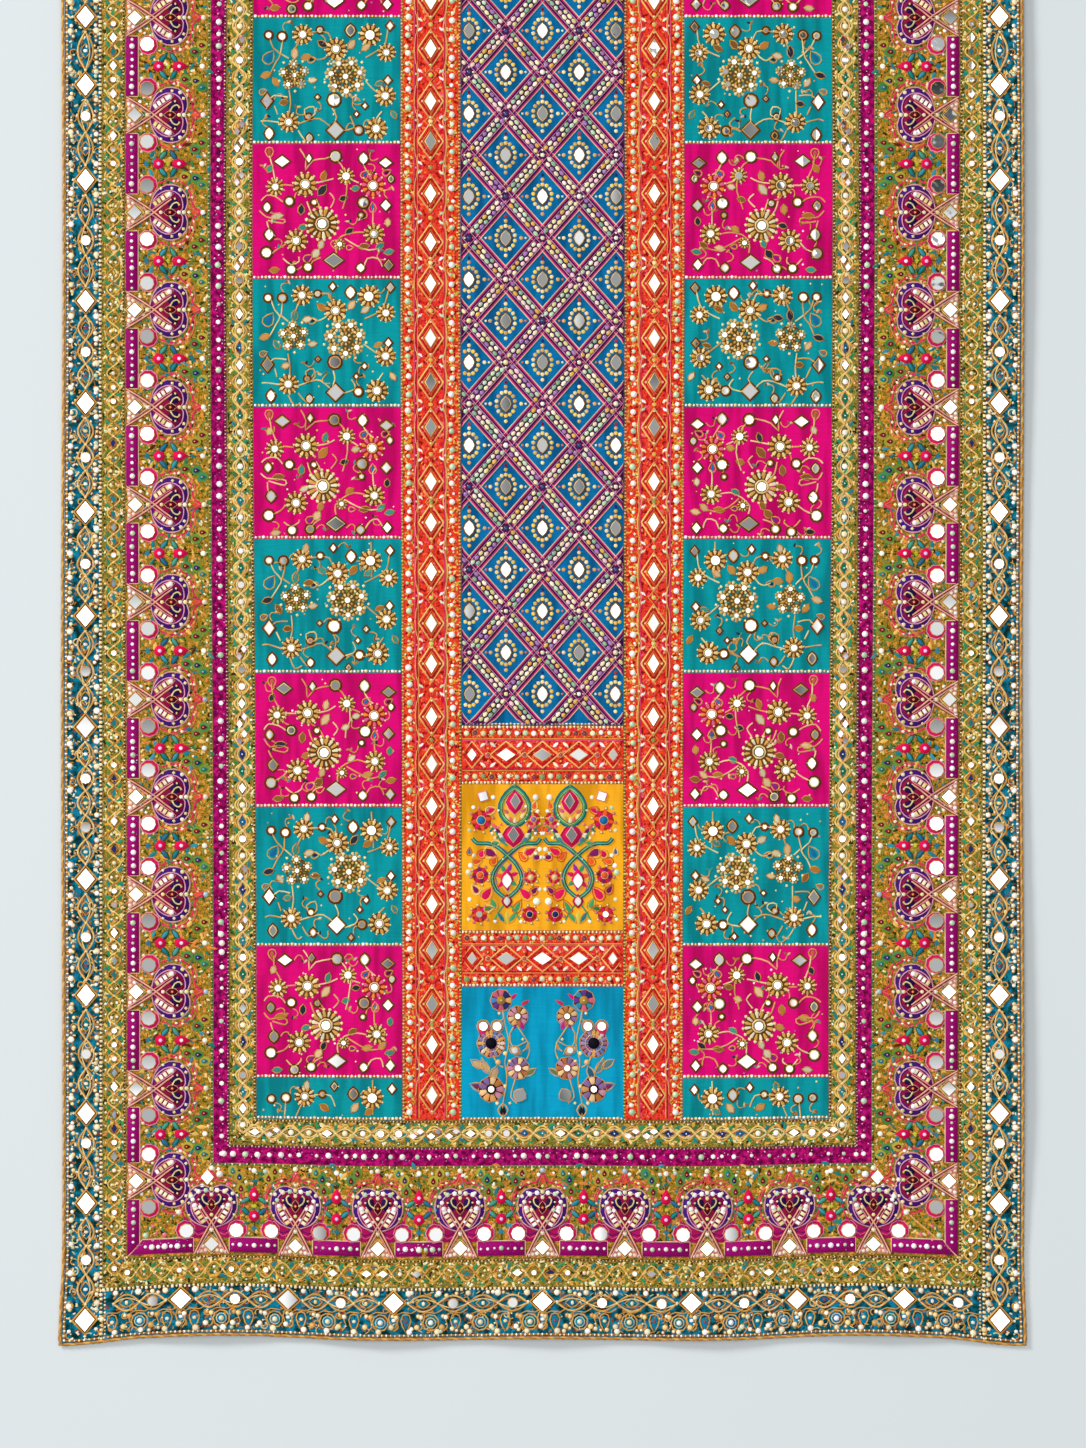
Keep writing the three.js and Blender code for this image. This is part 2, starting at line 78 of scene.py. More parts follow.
room = bpy.data.worlds.new("room")
bpy.context.scene.world = room
room.use_nodes = True
room_light = room.node_tree.nodes["Background"]
room_light.inputs["Color"].default_value = (0.95, 0.98, 1.0, 1)
room_light.inputs["Strength"].default_value = 0.46
LIT_SPOT = Vector((0.1, -0.6, 0))
for name, place, size, power in [
    ("window", (-7.5, 5.0, 4.4), 2.2, 855),
    ("ceiling", (-0.2, -1.0, 3.8), 2.8, 58),
]:
    light = bpy.data.lights.new(name, "AREA")
    light.size = size
    light.energy = power
    lamp = bpy.data.objects.new(name, light)
    lamp.location = place
    aim = LIT_SPOT - Vector(place)
    lamp.rotation_euler = aim.to_track_quat("-Z", "Y").to_euler()
    bpy.context.scene.collection.objects.link(lamp)

# How the cloth lies. It is pieced from bands round a field of silk, and its flat measure is pulled a little
# out of true by hand: the corners stand out, the hems bow in beside them and lift between them.
HALF_WIDTH, LENGTH, WALL = 481, 2255, 2
FIELD = {"start": 220, "half": 290}
LONG_BANDS = {"inner": 82, "outer": 142}
TAU = 2 * math.pi


def ease(x, low, high):
    t = np.clip((x - low) / (high - low), 0, 1)
    return t * t * (3 - 2 * t)


# Soft troughs (below 0) and ridges pressed into the cloth: from (u, v) to (u, v), half width, height.
CREASES = [
    (-200, 262, -185, 330, 7, -0.9), (-232, 300, -226, 372, 6, 0.8), (-176, 418, -170, 470, 6, -0.8),
    (-258, 428, -244, 520, 8, 0.7), (-214, 545, -222, 640, 7, -0.8), (-182, 690, -176, 760, 6, 0.7),
    (-246, 820, -236, 900, 7, -0.9), (-206, 944, -198, 1040, 8, 0.8), (-166, 1085, -170, 1150, 6, -0.7),
    (-250, 1210, -240, 1300, 8, 0.8), (-190, 1335, -200, 1420, 7, -0.8), (-232, 1480, -224, 1560, 7, 0.8),
    (-176, 1610, -186, 1700, 7, -0.8), (-250, 1740, -238, 1820, 8, 0.8), (-204, 1880, -196, 1980, 7, -0.8),
    (196, 270, 206, 352, 7, 0.8), (252, 300, 244, 380, 7, -0.9), (170, 420, 178, 500, 6, 0.7),
    (226, 470, 218, 560, 8, -0.8), (262, 610, 254, 690, 7, 0.8), (186, 660, 194, 740, 6, -0.8),
    (236, 800, 228, 880, 7, 0.8), (172, 900, 180, 980, 6, -0.8), (248, 990, 240, 1080, 8, 0.8),
    (204, 1110, 212, 1200, 7, -0.8), (178, 1250, 170, 1330, 6, 0.7), (242, 1350, 250, 1440, 8, -0.8),
    (200, 1500, 208, 1590, 7, 0.8), (256, 1640, 248, 1720, 7, -0.8), (184, 1760, 192, 1850, 7, 0.8),
    (230, 1900, 222, 1990, 7, -0.8), (-30, 238, -22, 338, 9, 1.0), (16, 232, 12, 346, 8, -1.0),
    (56, 280, 50, 350, 6, 0.7), (-62, 236, -58, 300, 6, -0.7), (-12, 420, -8, 548, 8, 0.8),
    (10, 416, 14, 552, 7, -0.8), (66, 470, 62, 550, 6, 0.6), (-66, 430, -62, 500, 6, -0.6),
    (-380, 60, -372, 210, 16, 1.0), (-300, 20, -290, 120, 14, -0.7), (-120, 10, -112, 150, 16, 0.9),
    (30, 8, 24, 130, 14, -0.8), (170, 10, 178, 160, 15, 0.9), (330, 14, 340, 140, 16, -0.8),
    (-455, 560, -380, 590, 12, 0.6), (390, 760, 470, 740, 12, 0.6), (-470, 1080, -400, 1050, 12, -0.5),
    (380, 1380, 470, 1410, 12, 0.6), (-380, 1600, -465, 1630, 12, 0.6), (370, 300, 460, 330, 12, -0.5),
    (-110, 2110, -118, 2245, 16, 0.9), (150, 2100, 160, 2248, 15, -0.8), (340, 2100, 350, 2240, 16, 0.9),
]
DEEPEST = -0.9


def rise(u, v):
    """How far creases and puckers lift the face of the cloth above its flat form."""
    sag, pucker = 0.25, 0.22
    height = sag * np.sin(u / 61 + 0.7 * np.sin(v / 143)) * np.cos(v / 97 + 0.4) + sag
    for u0, v0, u1, v1, half, most in CREASES:
        run = math.hypot(u1 - u0, v1 - v0)
        near = np.nonzero((np.abs(u - (u0 + u1) / 2) < abs(u1 - u0) / 2 + 2.5 * half + 4)
                          & (np.abs(v - (v0 + v1) / 2) < abs(v1 - v0) / 2 + 2.5 * half + 4))
        if not len(near[0]):
            continue
        du, dv = u[near] - u0, v[near] - v0
        along = (du * (u1 - u0) + dv * (v1 - v0)) / run
        off = (dv * (u1 - u0) - du * (v1 - v0)) / run - 0.04 * run * np.sin(along / run * math.pi)
        fade = ease(along, -half, 0.3 * run) * (1 - ease(along, 0.6 * run, run + half))
        height[near] += most * fade * np.exp(-((off / half) ** 2))
    silk = np.nonzero((np.abs(u) > LONG_BANDS["outer"]) & (np.abs(u) < FIELD["half"])
                      & (v > FIELD["start"]) & (v < LENGTH - FIELD["start"]))
    us, vs = u[silk], v[silk]
    sway = 5 * np.sin(vs / 71) + 3 * np.sin(vs / 29 + us / 40)
    tight = 0.55 + 0.45 * np.sin(vs / 21.3 + 0.5 * np.sin(us / 33))
    height[silk] += pucker * tight * np.sin((us + sway) / 2.7) + 0.2 * np.sin((us - sway) / 5.9 + 1.3)
    return np.maximum(height, DEEPEST)


def laid(u, v, height):
    """The place, in metres, of a point of the cloth that is height above its underside."""
    from_hem = np.minimum(v, LENGTH - v)
    inwards = np.where(v < LENGTH / 2, 1, -1)
    across, out = np.abs(u), np.sign(u)
    # The hem bows in by 4 mm beside its corners, and the corners drop out by 6 mm.
    hem = 1 - ease(from_hem, 60, 330)
    bow_middle, bow_reach = 335, 150
    bow = 4 * ease(np.maximum(0, 1 - np.abs(across - bow_middle) / bow_reach), 0, 1)
    bow += 0.8 * np.cos(TAU * u / 283)
    corner = 1 - ease(from_hem, 0, 90)
    drop = 6 * ease(across, 400, HALF_WIDTH) * corner
    # Near the hem the field's long seams are pulled in by 4 mm. The edge runs in a slow wave.
    seam = FIELD["half"]
    drawn = np.maximum(0, np.minimum(across / seam, (HALF_WIDTH - across) / (HALF_WIDTH - seam)))
    pull = 4 * drawn * (1 - ease(from_hem, 350, 1150))
    edge = ease(across, 441, HALF_WIDTH)
    wave = 0.9 * edge * np.sin(TAU * v / 870) * (1 - corner)
    # The hem lifts by up to 5 mm between the corners, the right edge by 5 mm and the left edge by 2 mm.
    held = 1 - ease(across, 405, 462)
    swell = 0.65 + 0.35 * np.cos(TAU * u / 167 + np.where(v > LENGTH / 2, 1.9, 0))
    lift = 5 * (1 - ease(from_hem, 0, 120)) * held * swell
    swell = 0.6 + 0.4 * np.sin(TAU * v / 940)
    lift += np.where(u < 0, 2, 5) * ease(across, 425, HALF_WIDTH) * ease(from_hem, 60, 260) * swell
    x = u + out * (3.5 * edge * corner - pull) + wave
    y = v - LENGTH / 2 + inwards * (bow * hem - drop)
    return np.stack([x, y, height + lift], -1) / 1000


class Piece:
    """One cut piece. Its own x runs along it and y inwards from its hem side. place gives their (u, v)."""

    def __init__(self, name, place, mirrored):
        self.name, self.place, self.mirrored = name, place, mirrored

    def lay(self, x, y, height):
        u, v = self.place(x, y)
        return laid(u, v, WALL + rise(u, v) + height)


def side_place(out, edge):
    return lambda x, y: (out * (edge - y), x)


def end_place(far, edge):
    return lambda x, y: (x, LENGTH - edge - y if far else edge + y)


def cloth(piece, starts, finishes, finish, pitch=11.0):
    """Cuts a piece between two lines of (x, y): a grid doubled into a shell and bent to its place."""
    ys0, xs0 = [y for _, y in starts], [x for x, _ in starts]
    ys1, xs1 = [y for _, y in finishes], [x for x, _ in finishes]
    low, high = min(ys0), max(ys0)
    length = max(xs1) - min(xs0)
    columns, rows = max(2, round(length / pitch)), max(2, round((high - low) / min(pitch, 9.0)))
    bm = bmesh.new()
    bmesh.ops.create_grid(bm, x_segments=columns, y_segments=rows, size=0.5)
    top = bmesh.ops.extrude_face_region(bm, geom=bm.faces[:], use_keep_orig=True)["geom"]
    bmesh.ops.translate(bm, verts=[e for e in top if isinstance(e, bmesh.types.BMVert)], vec=(0, 0, 1))
    bmesh.ops.recalc_face_normals(bm, faces=bm.faces)
    if piece.mirrored:
        bmesh.ops.reverse_faces(bm, faces=bm.faces)
    mesh = bpy.data.meshes.new(piece.name + "_cloth")
    bm.to_mesh(mesh)
    bm.free()
    co = np.empty(len(mesh.vertices) * 3)
    mesh.vertices.foreach_get("co", co)
    co = co.reshape(-1, 3)
    y = low + (co[:, 1] + 0.5) * (high - low)
    first, last = np.interp(y, ys0, xs0), np.interp(y, ys1, xs1)
    x = first + (co[:, 0] + 0.5) * (last - first)
    u, v = piece.place(x, y)
    face = laid(u, v, WALL + rise(u, v))
    back = laid(u, v, 0.0)
    mesh.vertices.foreach_set("co", np.where(co[:, 2:] > 0.5, face, back).ravel())
    corner = np.empty(len(mesh.loops), dtype=np.int32)
    mesh.loops.foreach_get("vertex_index", corner)
    cut = mesh.uv_layers.new(name="cut")
    cut.data.foreach_set("uv", (np.stack([x, y], -1)[corner] / 1000).ravel())
    mesh.shade_smooth()
    mesh.set_sharp_from_angle(angle=math.radians(50))
    mesh.materials.append(finish)
    made = bpy.data.objects.new(piece.name + "_cloth", mesh)
    bpy.context.scene.collection.objects.link(made)
    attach(made, "root")
    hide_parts(piece.name)
    (high - low) / 1000
    length / 1000


# The finishes are made from one shader each. Sums written on a socket add the Math nodes for it.
class Wire:
    """An output socket that can be reckoned with."""

    def __init__(self, finish, socket):
        self.finish, self.socket = finish, socket

    def __add__(self, other):
        return self.finish.node("ShaderNodeMath", {"operation": "ADD"}, {0: self, 1: other})

    def __mul__(self, other):
        return self.finish.node("ShaderNodeMath", {"operation": "MULTIPLY"}, {0: self, 1: other})


class Finish:
    """A material with one Principled shader. Its plain settings stand on the shader's own sockets."""

    def __init__(self, name, **settings):
        self.material = bpy.data.materials.new(name)
        self.material.use_nodes = True
        self.tree = self.material.node_tree
        self.shader = self.tree.nodes["Principled BSDF"]
        for socket, value in settings.items():
            self.shader.inputs[socket.replace("_", " ")].default_value = value

    def node(self, kind, settings, inputs, output=0):
        made = self.tree.nodes.new(kind)
        for key, value in settings.items():
            if key == "stops":
                ramp = made.color_ramp.elements
                while len(ramp) < len(value):
                    ramp.new(0.5)
                for element, (place, colour) in zip(ramp, value):
                    element.position, element.color = place, (*colour, 1)
            else:
                setattr(made, key, value)
        for key, value in inputs.items():
            self.join(value, made.inputs[key])
        return Wire(self, made.outputs[output])

    def join(self, value, socket):
        if isinstance(value, Wire):
            self.tree.links.new(value.socket, socket)
        else:
            socket.default_value = value

    def feed(self, **wires):
        for socket, value in wires.items():
            self.join(value, self.shader.inputs[socket.replace("_", " ")])
        return self

    def noise(self, where, scale, detail=2.0, stretch=None):
        if stretch:
            where = self.node("ShaderNodeMapping", {}, {"Vector": where, "Scale": stretch})
        return self.node("ShaderNodeTexNoise", {}, {"Vector": where, "Scale": scale, "Detail": detail})

    def ramp(self, value, stops):
        return self.node("ShaderNodeValToRGB", {"stops": stops}, {"Fac": value})

    def mix(self, factor, one, other, blend="MIX"):
        settings = {"data_type": "RGBA", "blend_type": blend}
        return self.node("ShaderNodeMix", settings, {0: factor, 6: one, 7: other}, output=2)

    def bump(self, height, strength, distance):
        self.feed(Normal=self.node("ShaderNodeBump", {},
                                   {"Height": height, "Strength": strength, "Distance": distance}))
        return self.material


def dye(text):
    """A colour by its six hex digits, in the linear light that meshes and shaders hold."""
    parts = [int(text[i : i + 2], 16) / 255 for i in (0, 2, 4)]
    return tuple(c / 12.92 if c < 0.04045 else ((c + 0.055) / 1.055) ** 2.4 for c in parts)


# Dupion silk for the patches: a firm weave with slubs across the cloth and a soft sheen, with soft streaks of
# painted shade along the cloth for shallow folds.
def silk(name, shade, light):
    made = Finish(name, Roughness=0.46, Specular_IOR_Level=0.03)
    where = made.node("ShaderNodeTexCoord", {}, {}, output=3)
    slubs = made.noise(where, 1.0, 3.0, stretch=(60, 900, 300))
    # Painted shade: long streaks darken the silk toward 0.6 of its colour, in place of the shade of shallow
    # folds.
    painted_fold_shade = made.noise(where, 1.0, 2.0, stretch=(75, 11, 40))
    colour = made.mix(slubs, (*shade, 1), (*light, 1))
    colour = made.mix(made.ramp(painted_fold_shade, [(0.42, (0, 0, 0)), (0.62, (0.7, 0.7, 0.7))]), colour,
                      (*[0.6 * c for c in shade], 1))
    made.feed(Base_Color=colour)
    warp = made.noise(where, 1.0, 2.0, stretch=(1500, 120, 300))
    return made.bump(slubs + warp, 0.25, 0.0006)


TEAL_SILK = silk("teal_silk", dye("03828b"), dye("089da4"))
PINK_SILK = silk("pink_silk", dye("c60160"), dye("e6087c"))
BLUE_SILK = silk("blue_silk", dye("028bb0"), dye("07a4cb"))
YELLOW_SILK = silk("yellow_silk", dye("ec9d0c"), dye("fbb52a"))


# Bands filled with short laid stitches: the stitches run in small blocks, each block in one of a few threads.
def filled(name, stops, block=230.0):
    made = Finish(name, Roughness=0.62, Specular_IOR_Level=0.03)
    where = made.node("ShaderNodeUVMap", {"uv_map": "cut"}, {})
    blocks = made.noise(where, block, 3.0)
    colour = made.ramp(blocks, stops)
    rows = made.noise(where, 1.0, 1.0, stretch=(225, 900, 1))
    colour = made.mix(rows * 0.75, colour, (0.02, 0.02, 0.01, 1), "OVERLAY")
    made.feed(Base_Color=colour)
    return made.bump(rows, 0.6, 0.0012)


OLIVE = filled("olive_needlework", [
    (0.34, dye("2c3c16")), (0.41, dye("6a6c2a")), (0.47, dye("c8a03c")), (0.52, dye("4a6424")),
    (0.58, dye("ecc65c")), (0.65, dye("22603a")),
])
OCHRE = filled("ochre_needlework", [
    (0.34, dye("2f5f24")), (0.41, dye("77741e")), (0.47, dye("d8a22e")), (0.53, dye("7c6c1e")),
    (0.60, dye("f0c050")), (0.68, dye("d8762e")),
])
TEAL_GROUND = filled("teal_velvet", [(0.38, dye("063436")), (0.5, dye("0b6678")), (0.62, dye("1094b8"))],
                     120.0)
MAGENTA = filled("magenta_silk", [(0.38, dye("740342")), (0.5, dye("b0096a")), (0.62, dye("d21a86"))], 200.0)
ORANGE = filled("orange_needlework", [
    (0.36, dye("9c1416")), (0.45, dye("e2342a")), (0.53, dye("f25630")), (0.60, dye("d02a2c")),
    (0.68, dye("fa8a3c")),
])
LATTICE_SILK = silk("lattice_silk", dye("025488"), dye("067ab2"))

# The bands of the frame, from the hem inwards. They meet in mitred corners, and the medallion border's joint
# bends between the two medallions there. side gives distances from the centre line, end from the hem.
SEAM, MITRE_GAP = 0.3, 0.25
BANDS = {
    "teal_border": {
        "side": (477.5, 441), "end": (3.5, 52.5), "finish": TEAL_GROUND, "slot": "teal_velvet",
    },
    "outer_olive_band": {
        "side": (441, 417.5), "end": (52.5, 81), "finish": OLIVE, "slot": "olive_needlework",
    },
    "medallion_border": {
        "side": (417.5, 332), "end": (81, 174.5), "finish": OCHRE, "slot": "medallion_needlework",
        "bends": [(364, 126), (356, 140)],
    },
    "magenta_band": {
        "side": (332, 316.5), "end": (174.5, 193), "finish": MAGENTA, "slot": "magenta_silk",
    },
    "inner_olive_band": {
        "side": (316.5, FIELD["half"]), "end": (193, FIELD["start"]), "finish": OLIVE,
        "slot": "olive_needlework",
    },
}
pieces = {}
for band, cut in BANDS.items():
    (side_out, side_in), (end_out, end_in) = cut["side"], cut["end"]
    corner = [(side_out, end_out), *cut.get("bends", []), (side_in, end_in)]
    corner[0] = (side_out - SEAM / 2, end_out + SEAM / 2)
    corner[-1] = (side_in + SEAM / 2, end_in - SEAM / 2)
    through = band == "teal_border"
    for where, out in (("left", -1), ("right", 1)):
        piece = Piece(f"{where}_{band}", side_place(out, side_out), out < 0)
        pieces[piece.name] = piece
        start = [(end_out if through else v + MITRE_GAP, side_out - u) for u, v in corner]
        finish = [(LENGTH - x, y) for x, y in start]
        area = None if through else sum(
            (y1 - y0) * (LENGTH - x0 - x1) for (x0, y0), (x1, y1) in zip(start, start[1:])) / 1e6
        cloth(piece, start, finish, cut["finish"])
    for where, far in (("near", False), ("far", True)):
        piece = Piece(f"{where}_{band}", end_place(far, end_out), far)
        pieces[piece.name] = piece
        finish = [(side_in - SEAM / 2 if through else u - MITRE_GAP, v - end_out) for u, v in corner]
        start = [(-x, y) for x, y in finish]
        area = None if through else sum(
            (y1 - y0) * (x0 + x1) for (x0, y0), (x1, y1) in zip(finish, finish[1:])) / 1e6
        cloth(piece, start, finish, cut["finish"])


def plain_rectangle(piece, length, width, finish, pitch=11.0, start=0.0):
    """Cuts a rectangular piece, half a seam short on every side."""
    gap = SEAM / 2
    cloth(
        piece, [(start + gap, gap), (start + gap, width - gap)],
        [(start + length - gap, gap), (start + length - gap, width - gap)], finish, pitch)


# Two columns of silk squares, teal and pink by turns. Each piece's x runs along the cloth, and y inwards.
PATCH_LENGTHS = [42, 132, 139, 134, 134, 132, 128, 135, 126, 136, 133, 137, 130, 135, 42]
for where, out in (("left", -1), ("right", 1)):
    start = FIELD["start"]
    for i, length in enumerate(PATCH_LENGTHS):
        piece = Piece(f"{where}_patch_{i + 1:02d}", side_place(out, FIELD["half"]), out < 0)
        piece.start, piece.length, piece.pink = start, length, bool(i % 2)
        pieces[piece.name] = piece
        finish, slot = (PINK_SILK, "pink_silk") if piece.pink else (TEAL_SILK, "teal_silk")
        plain_rectangle(piece, length, FIELD["half"] - LONG_BANDS["outer"], finish, 7.0, start)
        start += length
    piece = Piece(f"{where}_orange_band", side_place(out, LONG_BANDS["outer"]), out < 0)
    pieces[piece.name] = piece
    plain_rectangle(
        piece, LENGTH - 2 * FIELD["start"], LONG_BANDS["outer"] - LONG_BANDS["inner"], ORANGE,
        9.5, FIELD["start"])

# The centre column, from the near end: a blue patch, a cross band, a yellow patch, a cross band, the lattice.
OTHERS = 133.5 + 56 + 146.5 + 58.5
COLUMN = [
    ("blue_flower_patch", 133.5, BLUE_SILK, "blue_silk", 4.5),
    ("near_cross_band", 56, ORANGE, "orange_needlework", 9.5),
    ("yellow_tree_patch", 146.5, YELLOW_SILK, "yellow_silk", 4.5),
    ("middle_cross_band", 58.5, ORANGE, "orange_needlework", 9.5),
    ("lattice_panel", LENGTH - 2 * FIELD["start"] - OTHERS, LATTICE_SILK, "lattice_silk", 11.5),
]
start = FIELD["start"]
for name, length, finish, slot, pitch in COLUMN:
    piece = Piece(name, lambda x, y: (LONG_BANDS["inner"] - y, x), False)
    piece.start, piece.length = start, length
    pieces[name] = piece
    plain_rectangle(piece, length, 2 * LONG_BANDS["inner"], finish, pitch, start)
    start += length

# What is sewn on. Thread, gilt cord, beads and mirrors each have one finish, and each stitch holds its own
# colour, so that hundreds of them make one mesh on the piece that they are sewn to.
GOLD, PALE_GOLD, DEEP_GOLD, BRONZE = dye("dba14a"), dye("f4d692"), dye("a66d28"), dye("5e3b16")
CREAM, PEARL, WHITE = dye("efe3bd"), dye("fbf6e6"), dye("fffdf8")
MINT, PURPLE, PLUM, MAROON = dye("b9d6ae"), dye("4a1a6a"), dye("7a1a60"), dye("7c1230")
PINK, ROSE, CORAL, RED = dye("d3186f"), dye("e8628f"), dye("e9695f"), dye("cc1f27")
NAVY, SEA, LEAF, MOSS, LILAC = dye("22306b"), dye("1f7f86"), dye("3f7d4c"), dye("6f7f35"), dye("9b6aa8")
THREAD, GILT, BEAD, GLASS = range(4)


def stitch_finish(name, fibre, grime, **settings):
    made = Finish(name, **settings)
    colour = made.node("ShaderNodeAttribute", {"attribute_name": "dye"}, {})
    where = made.node("ShaderNodeTexCoord", {}, {}, output=3)
    grain = made.noise(where, fibre, 2.0)
    made.feed(Base_Color=made.mix(grain * grime, colour, (0.12, 0.1, 0.08, 1), "MULTIPLY"))
    return made.bump(grain, 0.3, 0.0004)


STITCH_FINISHES = [
    stitch_finish("couched_thread", 1400, 0.3, Roughness=0.6, Specular_IOR_Level=0.04),
    stitch_finish("gilt_cord", 1700, 0.3, Roughness=0.45, Specular_IOR_Level=0.14),
    stitch_finish("glass_bead", 300, 0.05, Roughness=0.3, Coat_Weight=0.25, Coat_Roughness=0.15),
]
glass = Finish("mirror_glass", Roughness=0.06, Metallic=1.0)
glass.feed(Base_Color=glass.node("ShaderNodeAttribute", {"attribute_name": "dye"}, {}))
clouded = glass.noise(glass.node("ShaderNodeTexCoord", {}, {}, output=3), 90, 1.0)
STITCH_FINISHES.append(glass.bump(clouded, 0.15, 0.002))


def as_arrays(bm):
    bm.verts.index_update()
    points = np.array([v.co for v in bm.verts])
    triangles = np.array([[v.index for v in f.verts] for f in bm.faces])
    bm.free()
    return points, triangles


def drawn_up(outline, top, peak):
    """A foot outline drawn up into a low pad 1 tall: its points and triangles."""
    bm = bmesh.new()
    crown = bm.faces.new([bm.verts.new((x, y, 0)) for x, y in outline])
    crown = bmesh.ops.extrude_discrete_faces(bm, faces=[crown])["faces"][0]
    bmesh.ops.scale(bm, verts=crown.verts[:], vec=(top, top, 1))
    bmesh.ops.translate(bm, verts=crown.verts[:], vec=(0, 0, 1))
    if peak:
        bmesh.ops.poke(bm, faces=[crown])["verts"][0].co.z = 1 + peak
    bmesh.ops.triangulate(bm, faces=bm.faces[:])
    return as_arrays(bm)


def peaked(outline):
    """The plainest bead: a foot outline with one point over it."""
    bm = bmesh.new()
    foot = bm.faces.new([bm.verts.new((x, y, 0)) for x, y in outline])
    bmesh.ops.poke(bm, faces=[foot])["verts"][0].co.z = 1
    return as_arrays(bm)


def ring(sides, turn=0.5):
    return [(math.cos(TAU * (i + turn) / sides), math.sin(TAU * (i + turn) / sides)) for i in range(sides)]


LOZENGE = [(1, 0), (0, 1), (-1, 0), (0, -1)]
ALMOND = [(0, 1), (-0.62, 0.52), (-0.92, 0), (-0.62, -0.52), (0, -1), (0.62, -0.52), (0.92, 0), (0.62, 0.52)]
DROP = [(1, 0), (0.35, 0.42), (-0.3, 0.62), (-0.85, 0.42), (-1, 0), (-0.85, -0.42), (-0.3, -0.62),
        (0.35, -0.42)]
LEAF_SHAPE = [(1, 0), (0.35, 0.4), (-0.35, 0.42), (-1, 0), (-0.35, -0.42), (0.35, -0.4)]
PETAL = [(1, 0), (0.5, 0.55), (-0.9, 0.25), (-0.9, -0.25), (0.5, -0.55)]
SHAPES = {
    "bead": peaked(ring(6)), "seed": peaked(ring(4)), "big": drawn_up(ring(7), 0.62, 0.3),
    "round": peaked(ring(9)), "lozenge": peaked(LOZENGE), "almond": peaked(ALMOND), "square": peaked(ring(4)),
    "drop": peaked(DROP), "leaf": peaked(LEAF_SHAPE), "petal": peaked(PETAL), "disc": peaked(ring(8)),
}
RIMS = {"round": ring(9), "lozenge": LOZENGE, "almond": ALMOND, "square": ring(4), "drop": DROP,
        "leaf": LEAF_SHAPE}


